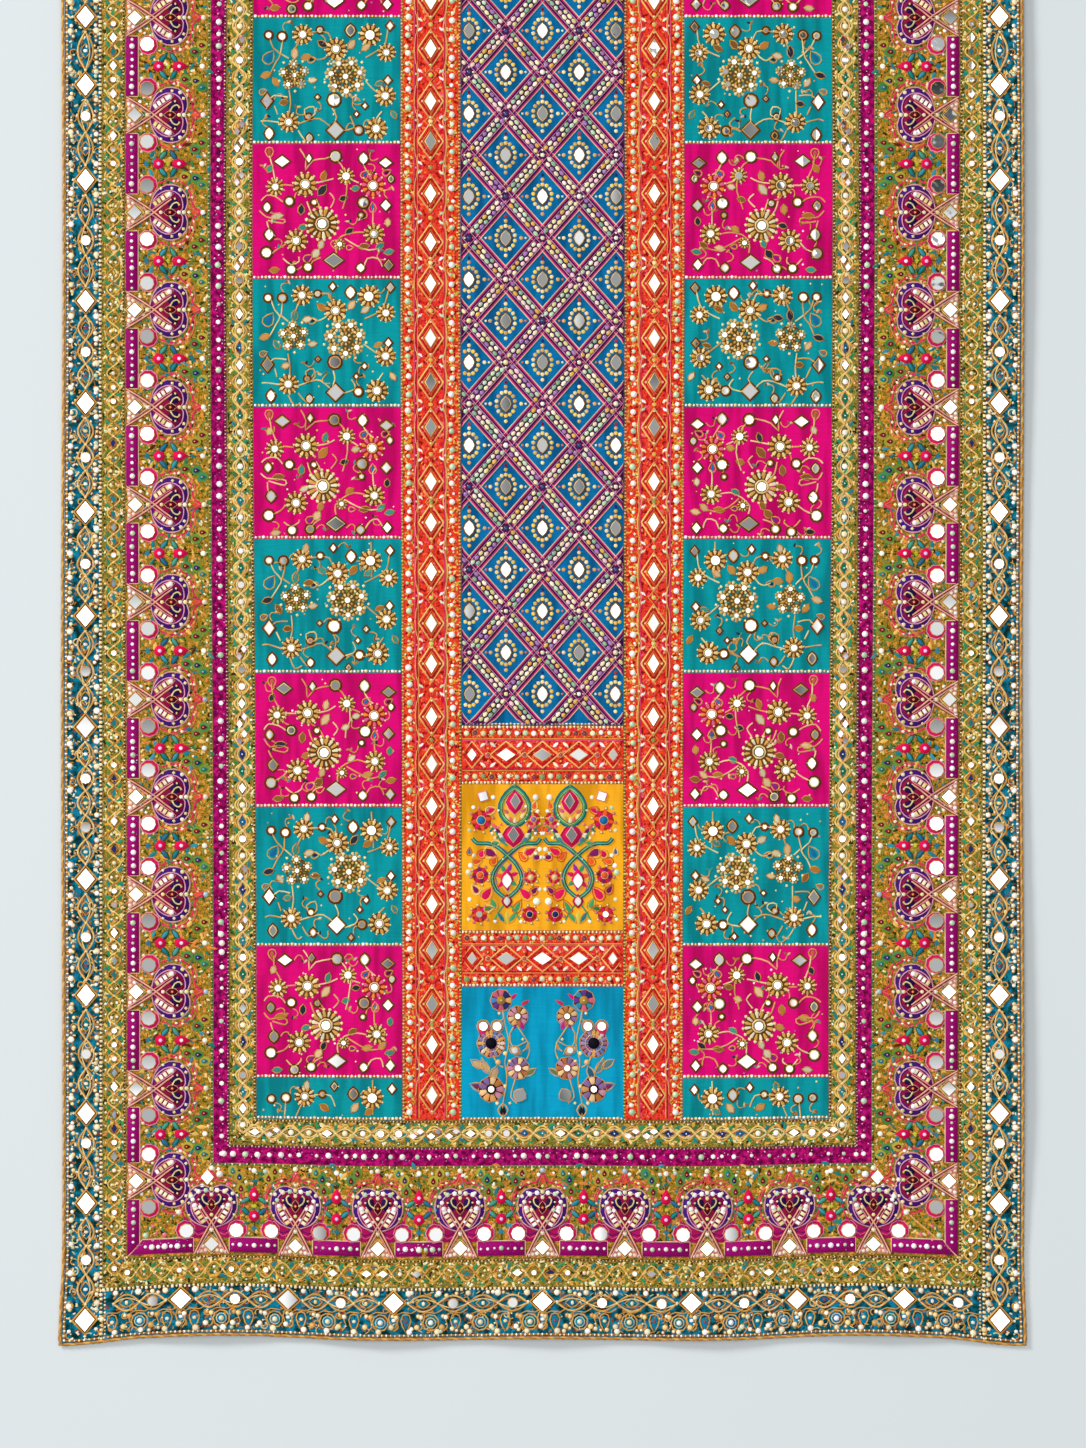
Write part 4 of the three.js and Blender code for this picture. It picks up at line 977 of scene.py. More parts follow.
# The medallion border: velvet onions with beaded crescents, a lozenge mirror at each neck where two gilt
# cords cross, a round mirror in a pink ring on each side, and a beaded magenta bar from neck to neck.
def medallion(s, x, long, shift, deep, beads):
    """One medallion. long and deep stretch it, and shift draws out its neck, which ends at top."""
    top = 24

    def at(px, py):
        return x + px * long, (top + shift) + (py - top) * deep if py > top else py + shift * py / top

    def path(side, *knots):
        return [at(side * px, py) for px, py in knots]

    def line(knots, *more, **settings):
        for side in (1, -1):
            s.curve(path(side, *knots), *more, **settings)

    for side in (-1, 1):
        s.patch(path(side, (3, 2), (17, 1.5), (12, 9), (7.5, 11)), dye("d98a78"), 0.5)
        for px, py in ((6, 4.4), (11, 3.8), (15, 3.4), (9.4, 8.2)):
            s.bead(*at(side * px, py), 2.0, pick((PEARL, dye("f0c8a8"), CREAM)), 2.2)
        s.plate("round", *at(side * 27.6, 23), 9.6, 9.6, dye("d01a5a"), 0, 0.6)
        s.outline("round", *at(side * 27.6, 23), 9.6, 9.6, dye("f0a0b4"), 1.2, finish=THREAD, tall=1.0)
        # The round mirrors beside the neck are mostly painted dark: a painted reflection of a darker room.
        painted_reflections = (0.5, 1, 0.42, 0.34, 0.3, 0.26) if beads else (1, 1, 0.42, 0.34, 0.26, 0.16)
        s.mirror("round", *at(side * 26.6, 22), 6.2, rim=GOLD, wide=1.6, painted_reflection=pick(painted_reflections), tall=1.7)
    if beads:
        for side in (-1, 1):
            s.patch(path(side, (4, 23), (12, 15), (20, 15), (31, 24), (30, 35), (22, 31)), dye("b0125a"), 0.5)
            for k, colour in enumerate((ROSE, PURPLE)):
                fan = path(side, (5, 22 + 2 * k), (14 + k, 18 + 3 * k), (21 + k, 24 + k), (26, 31 + k))
                s.curve(fan, 1.2, colour, THREAD, base=0.4)
    else:
        for side in (-1, 1):
            for px, py, half in ((8, 18, 1.8), (13, 15, 2.2), (15.5, 19.5, 1.6), (18, 25.5, 1.8),
                                 (11, 22, 1.6)):
                s.bead(*at(side * px, py), half, pick((CREAM, PEARL, GOLD, dye("2a6f5a"))), 1.6)
    onion = [(0, 24), (10, 26), (20.5, 31), (27, 41), (26, 53), (18.5, 60.5), (9, 62), (0, 59)]
    s.patch(path(1, *onion) + path(-1, *onion[-2:0:-1]), dye("451a76"), 1.3, top=0.95)
    inner = [(0, 26), (8, 27), (16, 32), (21, 41), (20, 50), (14, 56), (5, 57), (0, 55)]
    s.patch(path(1, *inner) + path(-1, *inner[-2:0:-1]), dye("8c123e"), 1.7, top=0.94)
    line([(-1, 24), (11, 26.5), (21, 31.5), (27.4, 41.5), (26.4, 53), (18.5, 61), (9, 62.6), (0, 59.5)],
         1.2, dye("e0a0a8"), THREAD, base=1.0)
    line([(11, 28), (17, 32.5), (21.6, 41), (20.6, 50), (14.5, 56.5), (5, 58), (1, 55.5)], 1.1, dye("eda0b0"),
         THREAD, base=1.5)
    for side in (-1, 1):
        # Each half: dark silk near the axis, and cream stripes in a red outline that end in a white bead.
        s.patch(path(side, (3, 47), (8, 42), (14, 46), (15, 52), (9, 54), (4, 53)), dye("2a1048"), 2.0)
        s.curve(path(side, (3, 45), (8, 47.5), (10, 52), (7, 54.5)), 1.8, dye("e6d690"), base=1.9)
        for k in range(4):
            px, py = 9.0 + 2.7 * k, 30.2 + 3.9 * k
            stripe = pick((CREAM, dye("f0e2a0"), PEARL, dye("d9c878")))
            s.pad("square", *at(side * px, py), 2.3, 3.3, stripe, side, 0.8, BEAD, base=1.9)
        s.bead(*at(side * 18, 44.5), 3.0, WHITE, 3.4)
        edge = path(side, (5.5, 30), (14.6, 45), (19, 49), (21, 44), (18, 38), (10, 27.5))
        s.thread(edge, 1.0, dye("e8909c"), THREAD, closed=True, base=1.6)
        for px, py, half in ((24, 36, 1.6), (24, 47, 1.8), (16.5, 58.5, 1.9), (22.4, 55, 2.2),
                             (13.5, 50, 1.7)):
            s.bead(*at(side * px, py), half, pick((CREAM, PALE_GOLD, dye("e0d080"))), 3.0)
    # The cords that cross over the neck and run on into the onion.
    cord = [(18, 1.5), (12.5, 11), (6, 21), (0, 29.5), (-7, 38), (-13, 46.5)]
    line(cord, 2.8, dye("8c123e"), THREAD, tall=0.4, base=1.6)
    line(cord, 1.5, dye("f0b490"), base=1.8)
    line([(15, 1.5), (9.5, 11), (3, 20), (-4, 29.5), (-10, 38)], 1.0, dye("e8a0a0"), base=1.7)
    s.mirror("lozenge", *at(0, 9.6), 6.4, 6.4, tall=1.6, painted_reflection=pick((1, 1, 0.7, 0.4, 0.3)))
    s.outline("lozenge", *at(0, 9.6), 9.6, 9.4, PALE_GOLD, 1.1)
    s.plate("almond", *at(0, 45), 4.2, 6.0, dye("5a0a20"), 0, 2.3)
    s.outline("almond", *at(0, 45), 4.6, 6.4, dye("ecd49a"), 1.2, tall=2.7)
    s.bead(*at(0, 45), 2.0, dye("f08a3c"), 3.4)
    for px, py, half in ((0, 22.5, 2.4), (0, 36, 2.2), (0, 54, 2.3), (0, 59, 2.3), (0, 64, 1.9)):
        s.bead(*at(px, py), half, pick((CREAM, dye("e6dc90"))), 3.4)
    for px, py, half in beads:
        for side in (-1, 1):
            s.bead(*at(side * px, py), half, pick((WHITE, PEARL, CREAM, MINT)), 3.6)
    # The scalloped edge and the tip.
    line([(29, 34), (32.5, 43), (31, 55), (24, 63), (14, 66.5), (7, 67.5), (3, 72), (0, 77)], 2.0,
         dye("e02a5a"), THREAD)
    line([(31, 38), (35, 46), (33, 57), (26, 66), (15, 69.5), (9, 70)], 1.2, CORAL, THREAD)
    line([(5, 63), (3.4, 67), (0, 74)], 1.3, CORAL, THREAD, tall=1.2)
    s.pad("lozenge", *at(0, 69), 3.0, 5.0, dye("e2552f"), 0, 1.0)
    s.bead(*at(0, 78), 2.9, pick((dye("9db7c6"), PEARL, CREAM)), 1.5)
    for side in (-1, 1):
        for px, py, half in ((24.5, 62.5, 2.0), (31.5, 49, 1.7), (15, 67, 1.8)):
            s.bead(*at(side * px, py), half, CREAM, 1.6)


def between_medallions(s, x, shift, deep, thick):
    """What stands midway: pink drops on a stem, a cross of leaves, and green eyes with dark hearts."""
    def at(px, py):
        return x + px, thick + (py - 13) * deep + shift

    s.curve([at(0, 14), at(0.6, 30), at(-0.6, 50), at(0, 74)], 1.1, BRONZE, THREAD)
    s.plate("round", *at(0, 33.5), 5.8, 5.8, dye("e0124e"), 0, 1.0)
    s.bead(*at(0, 33.5), 2.6, dye("e0c8f0"), 2.6)
    s.plate("drop", *at(0, 55), 8.0, 8.6, dye("e0124e"), math.pi / 2, 1.0)
    s.bead(*at(0, 54), 2.8, dye("f0ecf4"), 2.6)
    for px, py, turn in ((-8.5, 38, 2.4), (8.5, 38, 0.7), (-8.5, 48.5, 3.7), (8.5, 48.5, -0.6)):
        leaf = pick((SEA, dye("3a94a0"), dye("4c9f8c"), dye("2d6f8f")))
        s.plate("leaf", *at(px, py), 7.2, 6.4, dye("1f4a35"), turn, 0.5)
        s.plate("leaf", *at(px, py), 5.8, 4.6, leaf, turn, 1.0)
        s.pad("leaf", *at(px * 1.75, py + vary(-4, 4)), 4.0, 2.4, LEAF, vary(0, 3))
    s.pad("lozenge", *at(0, 43), 3.2, 3.2, dye("c9c23a"), 0, 1.0)
    s.pad("lozenge", *at(0, 21.5), 4.2, 3.8, dye("2e7f95"), 0, 1.1)
    s.bead(*at(0, 21.5), 1.4, CREAM)
    s.pad("leaf", *at(2, 64.5), 4.0, 2.2, dye("2f4a2f"), 1.2)
    s.set_bead(*at(0, 77), 2.7, PEARL)
    for px, py, heart in ((-14.5, 71, NAVY), (14.5, 70, MAROON), (-13, 60, MAROON), (21, 77, MAROON),
                          (-21, 77, SEA)):
        s.plate("round", *at(px, py), 5.2, 5.6, pick((dye("6c8f35"), dye("4f8a45"), dye("b5a53a"))), 0, 0.7)
        s.plate("drop", *at(px, py), 3.6, 4.0, heart, math.pi / 2, 1.4)
        s.bead(*at(px, py - 1), 1.2, dye("ff9a4a"), 2.2)
    for px, py in ((8, 80), (-8, 66), (12, 16.5), (-12, 17), (17, 55), (-17, 53)):
        s.bead(*at(px, py), vary(1.5, 2.1), pick((PEARL, CREAM)))
    for px, py in ((-9, 26), (9, 27), (0, 67), (-5, 84), (7, 74), (-16, 42), (17, 43), (-19, 64), (19, 62),
                   (4, 29), (-5, 60)):
        leaf = pick((LEAF, SEA, dye("e08a3c"), MOSS, dye("2d7f6f"), dye("3a94a0"), dye("f0c060"),
                     dye("5a2a14")))
        s.pad("leaf", *at(px, py), vary(4, 6.5), vary(3.2, 5.4), leaf, vary(0, 3), 1.4)


def bar(s, x0, x1, y0, y1, lead=0.0, trail=0.0):
    """A magenta bar with white beads. lead and trail slant its ends, as at a mitre."""
    s.patch([(x0, y0), (x1, y0), (x1 + trail, y1), (x0 + lead, y1)], dye("9c0a6a"), 0.7, top=0.985)
    s.thread(np.linspace((x0 + lead, y1 + 0.4), (x1 + trail, y1 + 0.4), 8), 1.5, dye("e5c79a"), tall=0.9)
    for x, way in ((x0, lead), (x1, trail)):
        s.thread([(x, y0), (x + way, y1)], 1.2, PALE_GOLD, tall=0.9)
    middle, length = (y0 + y1) / 2, x1 - x0 + min(0, trail) - max(0, lead)
    many = max(2, round(length / 6.5))
    for i in range(many):
        x = x0 + max(0, lead) + length * (i + 0.5) / many
        s.bead(x, middle + vary(-0.4, 0.4), (2.0, 3.0)[i % 2] * vary(0.9, 1.1),
               pick((PEARL, WHITE, MINT)), 2.0)
    for i in range(int(length / 2.6)):
        s.pad("seed", x0 + max(0, lead) + 2.6 * i, middle + vary(-0.36, 0.36) * (y1 - y0), 1.1, 0.7,
              pick(SPECKS), vary(0, 3), 1.0)


cut = BANDS["medallion_border"]
(side_out, side_in), (end_out, end_in) = cut["side"], cut["end"]
MEDALLIONS = {"side": 97.4, "first": 153.5, "nudge": 4.5, "end": 83.5, "per_end": 9}
many = 1 + round((LENGTH - 2 * MEDALLIONS["first"]) / MEDALLIONS["side"])
along_side = [MEDALLIONS["first"] + MEDALLIONS["side"] * i for i in range(many)]
along_side[0] += MEDALLIONS["nudge"]
along_side[-1] -= MEDALLIONS["nudge"]
along_end = [MEDALLIONS["end"] * (i - (MEDALLIONS["per_end"] - 1) / 2) for i in range(MEDALLIONS["per_end"])]
EXTRA_BEADS = {"side": [], "end": [(6, 58, 2.6), (14, 57, 2.7), (12, 43, 2.5), (20, 50, 2.3), (5, 33, 1.8)]}
MITRE_LINE = [(81, 0.8), (126, 53.5), (140, 61.5), (174, 84)]

sides = Sewing()
deep, neck = side_out - side_in, 18.5
scatter(sides, end_out, LENGTH - end_out, 14, deep - 3, 5.2, GROUND_DYES, (1.4, 2.9),
        keep=mitre(end_out + 2, LENGTH - end_out - 2, 1.0))
for x in along_side:
    medallion(sides, x, 1.0, 0, 1.0, EXTRA_BEADS["side"])
for x0, x1 in zip(along_side, along_side[1:]):
    bar(sides, x0 + neck, x1 - neck, 0.8, 12.8)
    between_medallions(sides, (x0 + x1) / 2, 0, 1.0, 13)
for corner_x, first, way in ((end_out, along_side[0], 1), (LENGTH - end_out, along_side[-1], -1)):
    near, reach = sorted((corner_x + way * 1.5, first - way * neck))
    bar(sides, near, reach, 0.8, 12.8, 11 if way > 0 else 0, -11 if way < 0 else 0)
    for dx, y, half in ((22, 19, 3.2), (31, 26, 2.0), (17, 26, 2.2)):
        sides.bead(corner_x + way * dx, y, half, MINT if y < 20 else ROSE)
seam_beads(sides, end_in - 3, deep - 1.6, LENGTH - end_in + 3, deep - 1.6, 3.6, 1.4, dye("cfd6a0"), MOSS,
           dye("3f6a35"))
seam_beads(sides, end_in + 2, deep - 5, LENGTH - end_in - 2, deep - 5, 8.5, 1.1, MINT, MOSS, None)
for at_x, way in ((0, 1), (LENGTH, -1)):
    for (x0, y0), (x1, y1) in zip(MITRE_LINE, MITRE_LINE[1:]):
        sides.thread([(at_x + way * (x0 + 1), y0), (at_x + way * (x1 + 1), y1)], 1.6, GOLD)
        sides.row((at_x + way * (x0 + 1), y0), (at_x + way * (x1 + 1), y1), 4.2, 1.3, PALE_GOLD, 0.2, GOLD)
for where in ("left", "right"):
    sides.sew_on(pieces[f"{where}_medallion_border"], "medallion_needlework")

ends = Sewing()
deep, neck = end_in - end_out, 17.5
scatter(ends, -side_out, side_out, 18, deep - 3, 5.2, GROUND_DYES, (1.4, 2.9),
        keep=mitre(-side_out + 6, side_out - 6, 0.9))
for x in along_end:
    medallion(ends, x, 0.92, 3.2, 1.13, EXTRA_BEADS["end"])
for x0, x1 in zip(along_end, along_end[1:]):
    bar(ends, x0 + neck, x1 - neck, 3, 17.5)
    between_medallions(ends, (x0 + x1) / 2, 0.5, 1.06, 17.5)
for way in (-1, 1):
    near, reach = sorted((way * (along_end[-1] + neck), way * (side_out - 3.5)))
    bar(ends, near, reach, 3, 17.5, 12 if way < 0 else 0, -12 if way > 0 else 0)
    ends.mirror("lozenge", way * 338, 79, 5.4, 6.6, wide=1.6, painted_reflection=1)
    ends.bead(way * 326, 82, 3.6, WHITE)
    for dx, y, half in ((-5, 70, 2.8), (-16, 60, 3.3), (-28, 44, 3.0), (20, 71, 2.2), (-42, 22, 2.4),
                        (-50, 24, 1.8)):
        ends.bead(way * (338 - dx), y, half, PEARL if half > 2.5 else ROSE)
seam_beads(ends, -side_in - 3, deep - 1.6, side_in + 3, deep - 1.6, 3.6, 1.4, CREAM, MOSS, dye("5a6a30"))
for i in range(44):
    ends.bead(-side_in + 15.4 * (i + 0.3), deep - 8 + vary(-2, 2), vary(1.8, 2.6),
              pick((PEARL, WHITE, dye("bcd3cf"))))
for where in ("near", "far"):
    ends.sew_on(pieces[f"{where}_medallion_border"], "medallion_needlework")

# The long orange bands: nested lozenges round slim mirrors down the middle, a wave on either side of them and
# a row of white beads on a golden strip along each edge.
EMBERS = [dye(c) for c in ("f0a83c", "f7c65a", "e8782c", "d9442a", "f29a4a", "c8962e", "ffd98a", "b5c04a")]
HOT = [dye(c) for c in ("ff7a4a", "d81f3a", "f2545a", "ffa05a", "c8102f", "f56a78")]
JEWELS = (PEARL, WHITE, CREAM, MINT, dye("d9e8c8"))


def waves(sewing, knots, middle, swells, wide):
    """Threads that swell round each knot and close up between them."""
    x = np.linspace(knots[0], knots[-1], 6 * (len(knots) - 1) + 1)
    phase = np.interp(x, knots, np.arange(len(knots)))
    part = np.abs(np.cos(math.pi * phase))
    for swell, colour in swells:
        for side in (-1, 1):
            y = middle + side * (swell - 4.5 * (1 - part))
            sewing.thread(np.column_stack([x, y]), wide, colour, THREAD, tall=0.8)


orange = Sewing()
x0, x1, deep = FIELD["start"], LENGTH - FIELD["start"], LONG_BANDS["outer"] - LONG_BANDS["inner"]
middle, every = deep / 2, 47.5
scatter(orange, x0 + 3, x1 - 3, 2.5, 12.5, 3.2, EMBERS, (1.1, 2.1))
scatter(orange, x0 + 3, x1 - 3, 45.5, 57.5, 3.3, EMBERS, (1.1, 2.1))
scatter(orange, x0 + 3, x1 - 3, 17, 43, 4.4, HOT, (1.2, 2.4))
knots = [x0 + 25 + every * i + 4 * math.sin(2.3 * i) for i in range(int((x1 - x0 - 45) / every) + 1)]
waves(orange, knots, middle, ((16.5, dye("ffb46a")), (14.2, dye("e0213d"))), 1.3)
for i, x in enumerate(knots):
    orange.pad("lozenge", x, middle, 17.5, 11.5, dye("dd3324"), 0, 0.5)
    orange.outline("lozenge", x, middle, 19.0, 12.8, dye("f7c46a"), 2.2, tall=1.0)
    orange.outline("lozenge", x, middle, 15.6, 10.2, dye("c41a2a"), 2.0, finish=THREAD, tall=1.0)
    orange.outline("lozenge", x, middle, 12.4, 8.0, dye("e8903a"), 1.4, tall=1.1)
    # Some mirrors are painted darker: a painted reflection.
    painted_reflection = pick((1, 1, 1, 0.8, 0.4, 0.2, 0.12))
    orange.mirror("lozenge", x, middle, 8.2, 4.4, rim=PALE_GOLD, wide=2.0, tall=1.4, painted_reflection=painted_reflection)
    for dx, dy in ((0, 8.5), (0, -8.5), (16, 0), (-16, 0)):
        orange.bead(x + dx, middle + dy, 1.5, PALE_GOLD, 1.6)
    if i + 1 < len(knots):
        m = (x + knots[i + 1]) / 2
        orange.outline("lozenge", m, middle, 6.6, 5.6, pick((GOLD, dye("e2452c"))), 1.2)
        colour = pick((dye("d9b03a"), dye("7f8f35"), PALE_GOLD, dye("c9c455")))
        orange.bead(m, middle, 2.6, colour, 1.7)
        for side in (-1, 1):
            for dx in (-4.6, 4.6):
                orange.pad("leaf", m + dx + vary(-1, 1), middle + side * 11, 4.2, 4.0,
                           pick(JEWELS), side * 0.9 * (1 if dx > 0 else -1), 1.1, BEAD)
            orange.bead(m + vary(-2, 2), middle + side * 14.5, 1.8, pick((MINT, CREAM, ROSE)))
for y, colour, finish in ((13.6, dye("e8507a"), THREAD), (15.3, dye("c41238"), THREAD), (17.0, GOLD, GILT),
                          (43.2, dye("e8507a"), THREAD), (45.0, GOLD, GILT)):
    orange.thread(np.column_stack([np.linspace(x0 + 2, x1 - 2, 190), np.full(190, y)]), 1.2, colour, finish)
for y in (7.4, 51.0):
    x = x0 + 8
    while x < x1 - 6:
        orange.bead(x, y + vary(-0.7, 0.7), vary(2.9, 3.5), pick((WHITE, PEARL, WHITE, MINT)), 1.7)
        orange.bead(x + 8.5 + vary(-2, 2), y + vary(-2, 2), vary(1.7, 2.6), pick(JEWELS))
        for _ in range(2):
            orange.bead(x + vary(3, 15), y + vary(-4.5, 4.5), 1.3, pick((CREAM, PALE_GOLD, RED)))
        x += vary(16, 20)
seam_beads(orange, x0 + 1, 1.2, x1 - 1, 1.2, 3.4, 1.4, dye("e8c86a"), GOLD, DEEP_GOLD)
seam_beads(orange, x0 + 1, deep - 1.2, x1 - 1, deep - 1.2, 3.4, 1.4, dye("e8c86a"), dye("c9a24a"),
           dye("7c5a1c"))
for where in ("left", "right"):
    orange.sew_on(pieces[f"{where}_orange_band"], "orange_needlework")


# The cross bands, in the same hand: five lozenges across, with leaves round the beads between them and a row
# of cut beads along both edges.
def cross_band(name):
    piece = pieces[name]
    s = Sewing().at(piece.start, LONG_BANDS["inner"], -math.pi / 2)
    deep, half = piece.length, LONG_BANDS["inner"]
    middle = deep / 2
    s.limits = (piece.start, piece.start + deep, 0.6, 2 * half - 0.6)
    scatter(s, -half + 2, half - 2, 3, 12, 2.9, EMBERS + HOT, (0.8, 1.6))
    scatter(s, -half + 2, half - 2, deep - 12, deep - 3, 2.9, EMBERS + HOT, (0.8, 1.6))
    scatter(s, -half + 2, half - 2, 15, deep - 15, 3.9, HOT, (1.1, 2.2))
    across = [36.8 * i for i in (-2, -1, 0, 1, 2)]
    for u in across:
        wide = 12.6 if abs(u) < 70 else 8.0
        shift = 0 if abs(u) < 70 else -2.2 * math.copysign(1, u)
        s.pad("lozenge", u + shift, middle, wide, 11.5, dye("dd3324"), 0, 0.5)
        s.outline("lozenge", u + shift, middle, wide + 3.4, 13.4, dye("f7c46a"), 2.0, tall=1.0)
        s.outline("lozenge", u + shift, middle, wide, 10, RED, 1.6, finish=THREAD, tall=1.0)
        s.mirror("lozenge", u + shift, middle, wide - 4.6, 5.0, rim=PALE_GOLD, wide=1.8, tall=1.3,
                 painted_reflection=pick((1, 0.8, 0.4, 0.3, 0.2)))
    for u in (-55.2, -18.4, 18.4, 55.2):
        s.set_bead(u, middle, 2.2, dye("b5322a"), PALE_GOLD)
        for side in (-1, 1):
            s.bead(u + vary(-0.5, 0.5), middle + side * 6.5, 1.5, GOLD)
            for dx in (-5.0, 5.0):
                s.pad("leaf", u + dx, middle + side * 10, 4.4, 4.0, pick(JEWELS),
                      side * 0.7 * (1 if dx < 0 else -1), 1.1, BEAD)
    for y in (7.5, deep - 7.5):
        for i in range(19):
            u = -half + 5.2 + 8.5 * i
            round_one = chance.random() < 0.6
            colour = pick((WHITE, CREAM, CREAM, MINT, dye("e8d79a"), dye("6f8f4a"), MAROON))
            s.set_bead(u, y + vary(-0.5, 0.5), 2.4 + 0.3 * round_one, colour,
                       GOLD if round_one else dye("e2603a"))
    for y, colour in ((13.4, GOLD), (15.2, dye("c41238")), (deep - 13.4, GOLD), (deep - 15.2, dye("e8507a"))):
        s.thread(np.column_stack([np.linspace(-half + 1, half - 1, 18), np.full(18, y)]), 1.2, colour,
                 tall=0.7)
    for y in (1.4, deep - 1.4):
        seam_beads(s, -half + 1, y, half - 1, y, 3.8, 1.7, *WHITE_SEAM)
    s.sew_on(piece, "orange_needlework")


cross_band("near_cross_band")
cross_band("middle_cross_band")

# The lattice: beaded plum straps cross over blue silk, and each pocket holds an almond mirror in a ring of
# gold beads, with smaller beads round it. A lozenge of dark velvet is sewn over each crossing.
lattice = pieces["lattice_panel"]
low, high, half = lattice.start, lattice.start + lattice.length, LONG_BANDS["inner"]
CELL_U, CELL_V, FIRST_V, STRAP, PER_STRAP = 36.8, 41.45, 646.0, 17.4, 9
s = Sewing().at(0, half, -math.pi / 2)
s.limits = (low + 0.8, high - 0.8, 0.8, 2 * half - 0.8)
STRAP_BEADS = (
    CREAM, dye("e9dfa8"), dye("d9cf86"), MINT, dye("eec3c0"), dye("f2e8c9"), dye("7fae86"), LILAC,
    dye("d8a83a"),
)
RING_BEADS = (dye("f0c23c"), dye("e8c860"), PALE_GOLD, dye("d8a83c"))


def inside(u, v, rim):
    return abs(u) < half - rim and low + rim < v < high - rim


for r in range(-1, int((high - FIRST_V) / CELL_V) + 2):
    for c in (-3, -2, -1, 0, 1, 2, 3):
        u, v = CELL_U * c, FIRST_V + CELL_V * r
        if (c + r) % 2 == 0:
            if abs(c) < 3 and inside(u, v, 4):
                # Half the almond mirrors are painted dark, a painted reflection of a darker part of the room.
                dark = chance.random() < 0.5
                s.plate("almond", u, v, 8.0, 10.2, dye("5a4a3a"), 0, 0.5)
                s.mirror("almond", u, v, 4.6, 6.6, rim=dye("d8c49a"), wide=1.8,
                         painted_reflection=pick((0.2, 0.12, 0.3)) if dark else 0.85, tall=1.3)
                for k in range(14):
                    a = TAU * (k + 0.5) / 14
                    bu, bv = u + 9.4 * math.cos(a), v + 12.0 * math.sin(a)
                    if inside(bu, bv, 2.5):
                        s.bead(bu, bv, 2.3, pick(RING_BEADS), 1.5)
                for du, dv in ((0, 17), (0, -17.5), (15.5, 0), (-15.5, 0), (20, 0), (-20, 0)):
                    if inside(u + du, v + dv, 2.5):
                        far = abs(du) > 18
                        colour = pick((CREAM, dye("d9622c")) if far else (GOLD, PALE_GOLD))
                        s.bead(u + du, v + dv, 1.4 if far else 2.2, colour, 1.5)
                if inside(u, v + 21, 3):
                    colour = pick((MAROON, dye("b5322a"), NAVY))
                    s.pad("lozenge", u, v + 21.5, 2.0, 2.6, colour, 0, 1.2)
            continue
        for way in (-1, 1):
            # A strap that leaves the panel runs just past its edge, where the limits cut it off.
            past = 7
            bounds = sorted(((-half - past - u) / (way * CELL_U), (half + past - u) / (way * CELL_U)))
            first = max(0, bounds[0], (low - past - v) / CELL_V)
            last = min(1, bounds[1], (high + past - v) / CELL_V)
            if last - first < 0.05:
                continue
            run = np.linspace(first, last, 5)
            line = np.column_stack([u + way * CELL_U * run, v + CELL_V * run])
            off = np.array([CELL_V, -way * CELL_U]) / math.hypot(CELL_U, CELL_V)
            s.thread(line, STRAP, dye("4f1a4c"), THREAD, tall=0.9)
            for reach, colour, wide in ((8.9, dye("f0d8b0"), 1.0), (7.6, dye("d8307a"), 1.6),
                                        (5.9, dye("3a1454"), 1.4), (4.9, dye("e5a0b4"), 0.9)):
                for side in (-1, 1):
                    s.thread(line + side * reach * off, wide, colour, THREAD, tall=0.9,
                             base=0.1 if reach > 7 else 0.45)
            for side in (-1, 1):
                for k in range(PER_STRAP):
                    f = (k + 0.5 + 0.25 * side) / PER_STRAP
                    bu = u + way * CELL_U * f + side * 2.3 * off[0]
                    bv = v + CELL_V * f + side * 2.3 * off[1]
                    if 0.09 < f < 0.91 and inside(bu, bv, 2.2):
                        s.pad("bead", bu, bv, 3.0 * vary(0.8, 1.1), 2.0, pick(STRAP_BEADS),
                              math.atan2(CELL_V, way * CELL_U), 1.4, BEAD, base=1.0)
        if inside(u, v, 3):
            s.pad("lozenge", u, v, 6.0, 7.0, dye("2a1238"), 0, 1.5)
            s.bead(u, v, pick((2.4, 3.0)), pick((CREAM, PEARL, NAVY, dye("e8dca0"))), 2.8)
            for du, dv in ((4.2, 0), (-4.2, 0), (0, 5), (0, -5)):
                if inside(u + du, v + dv, 2):
                    s.bead(u + du, v + dv, 1.3, pick((ROSE, PINK, CREAM)), 2.4)
for v in (low + 1.3, high - 1.3):
    seam_beads(s, -half + 1, v, half - 1, v, 3.8, 1.6, *WHITE_SEAM)
s.sew_on(lattice, "lattice_silk")

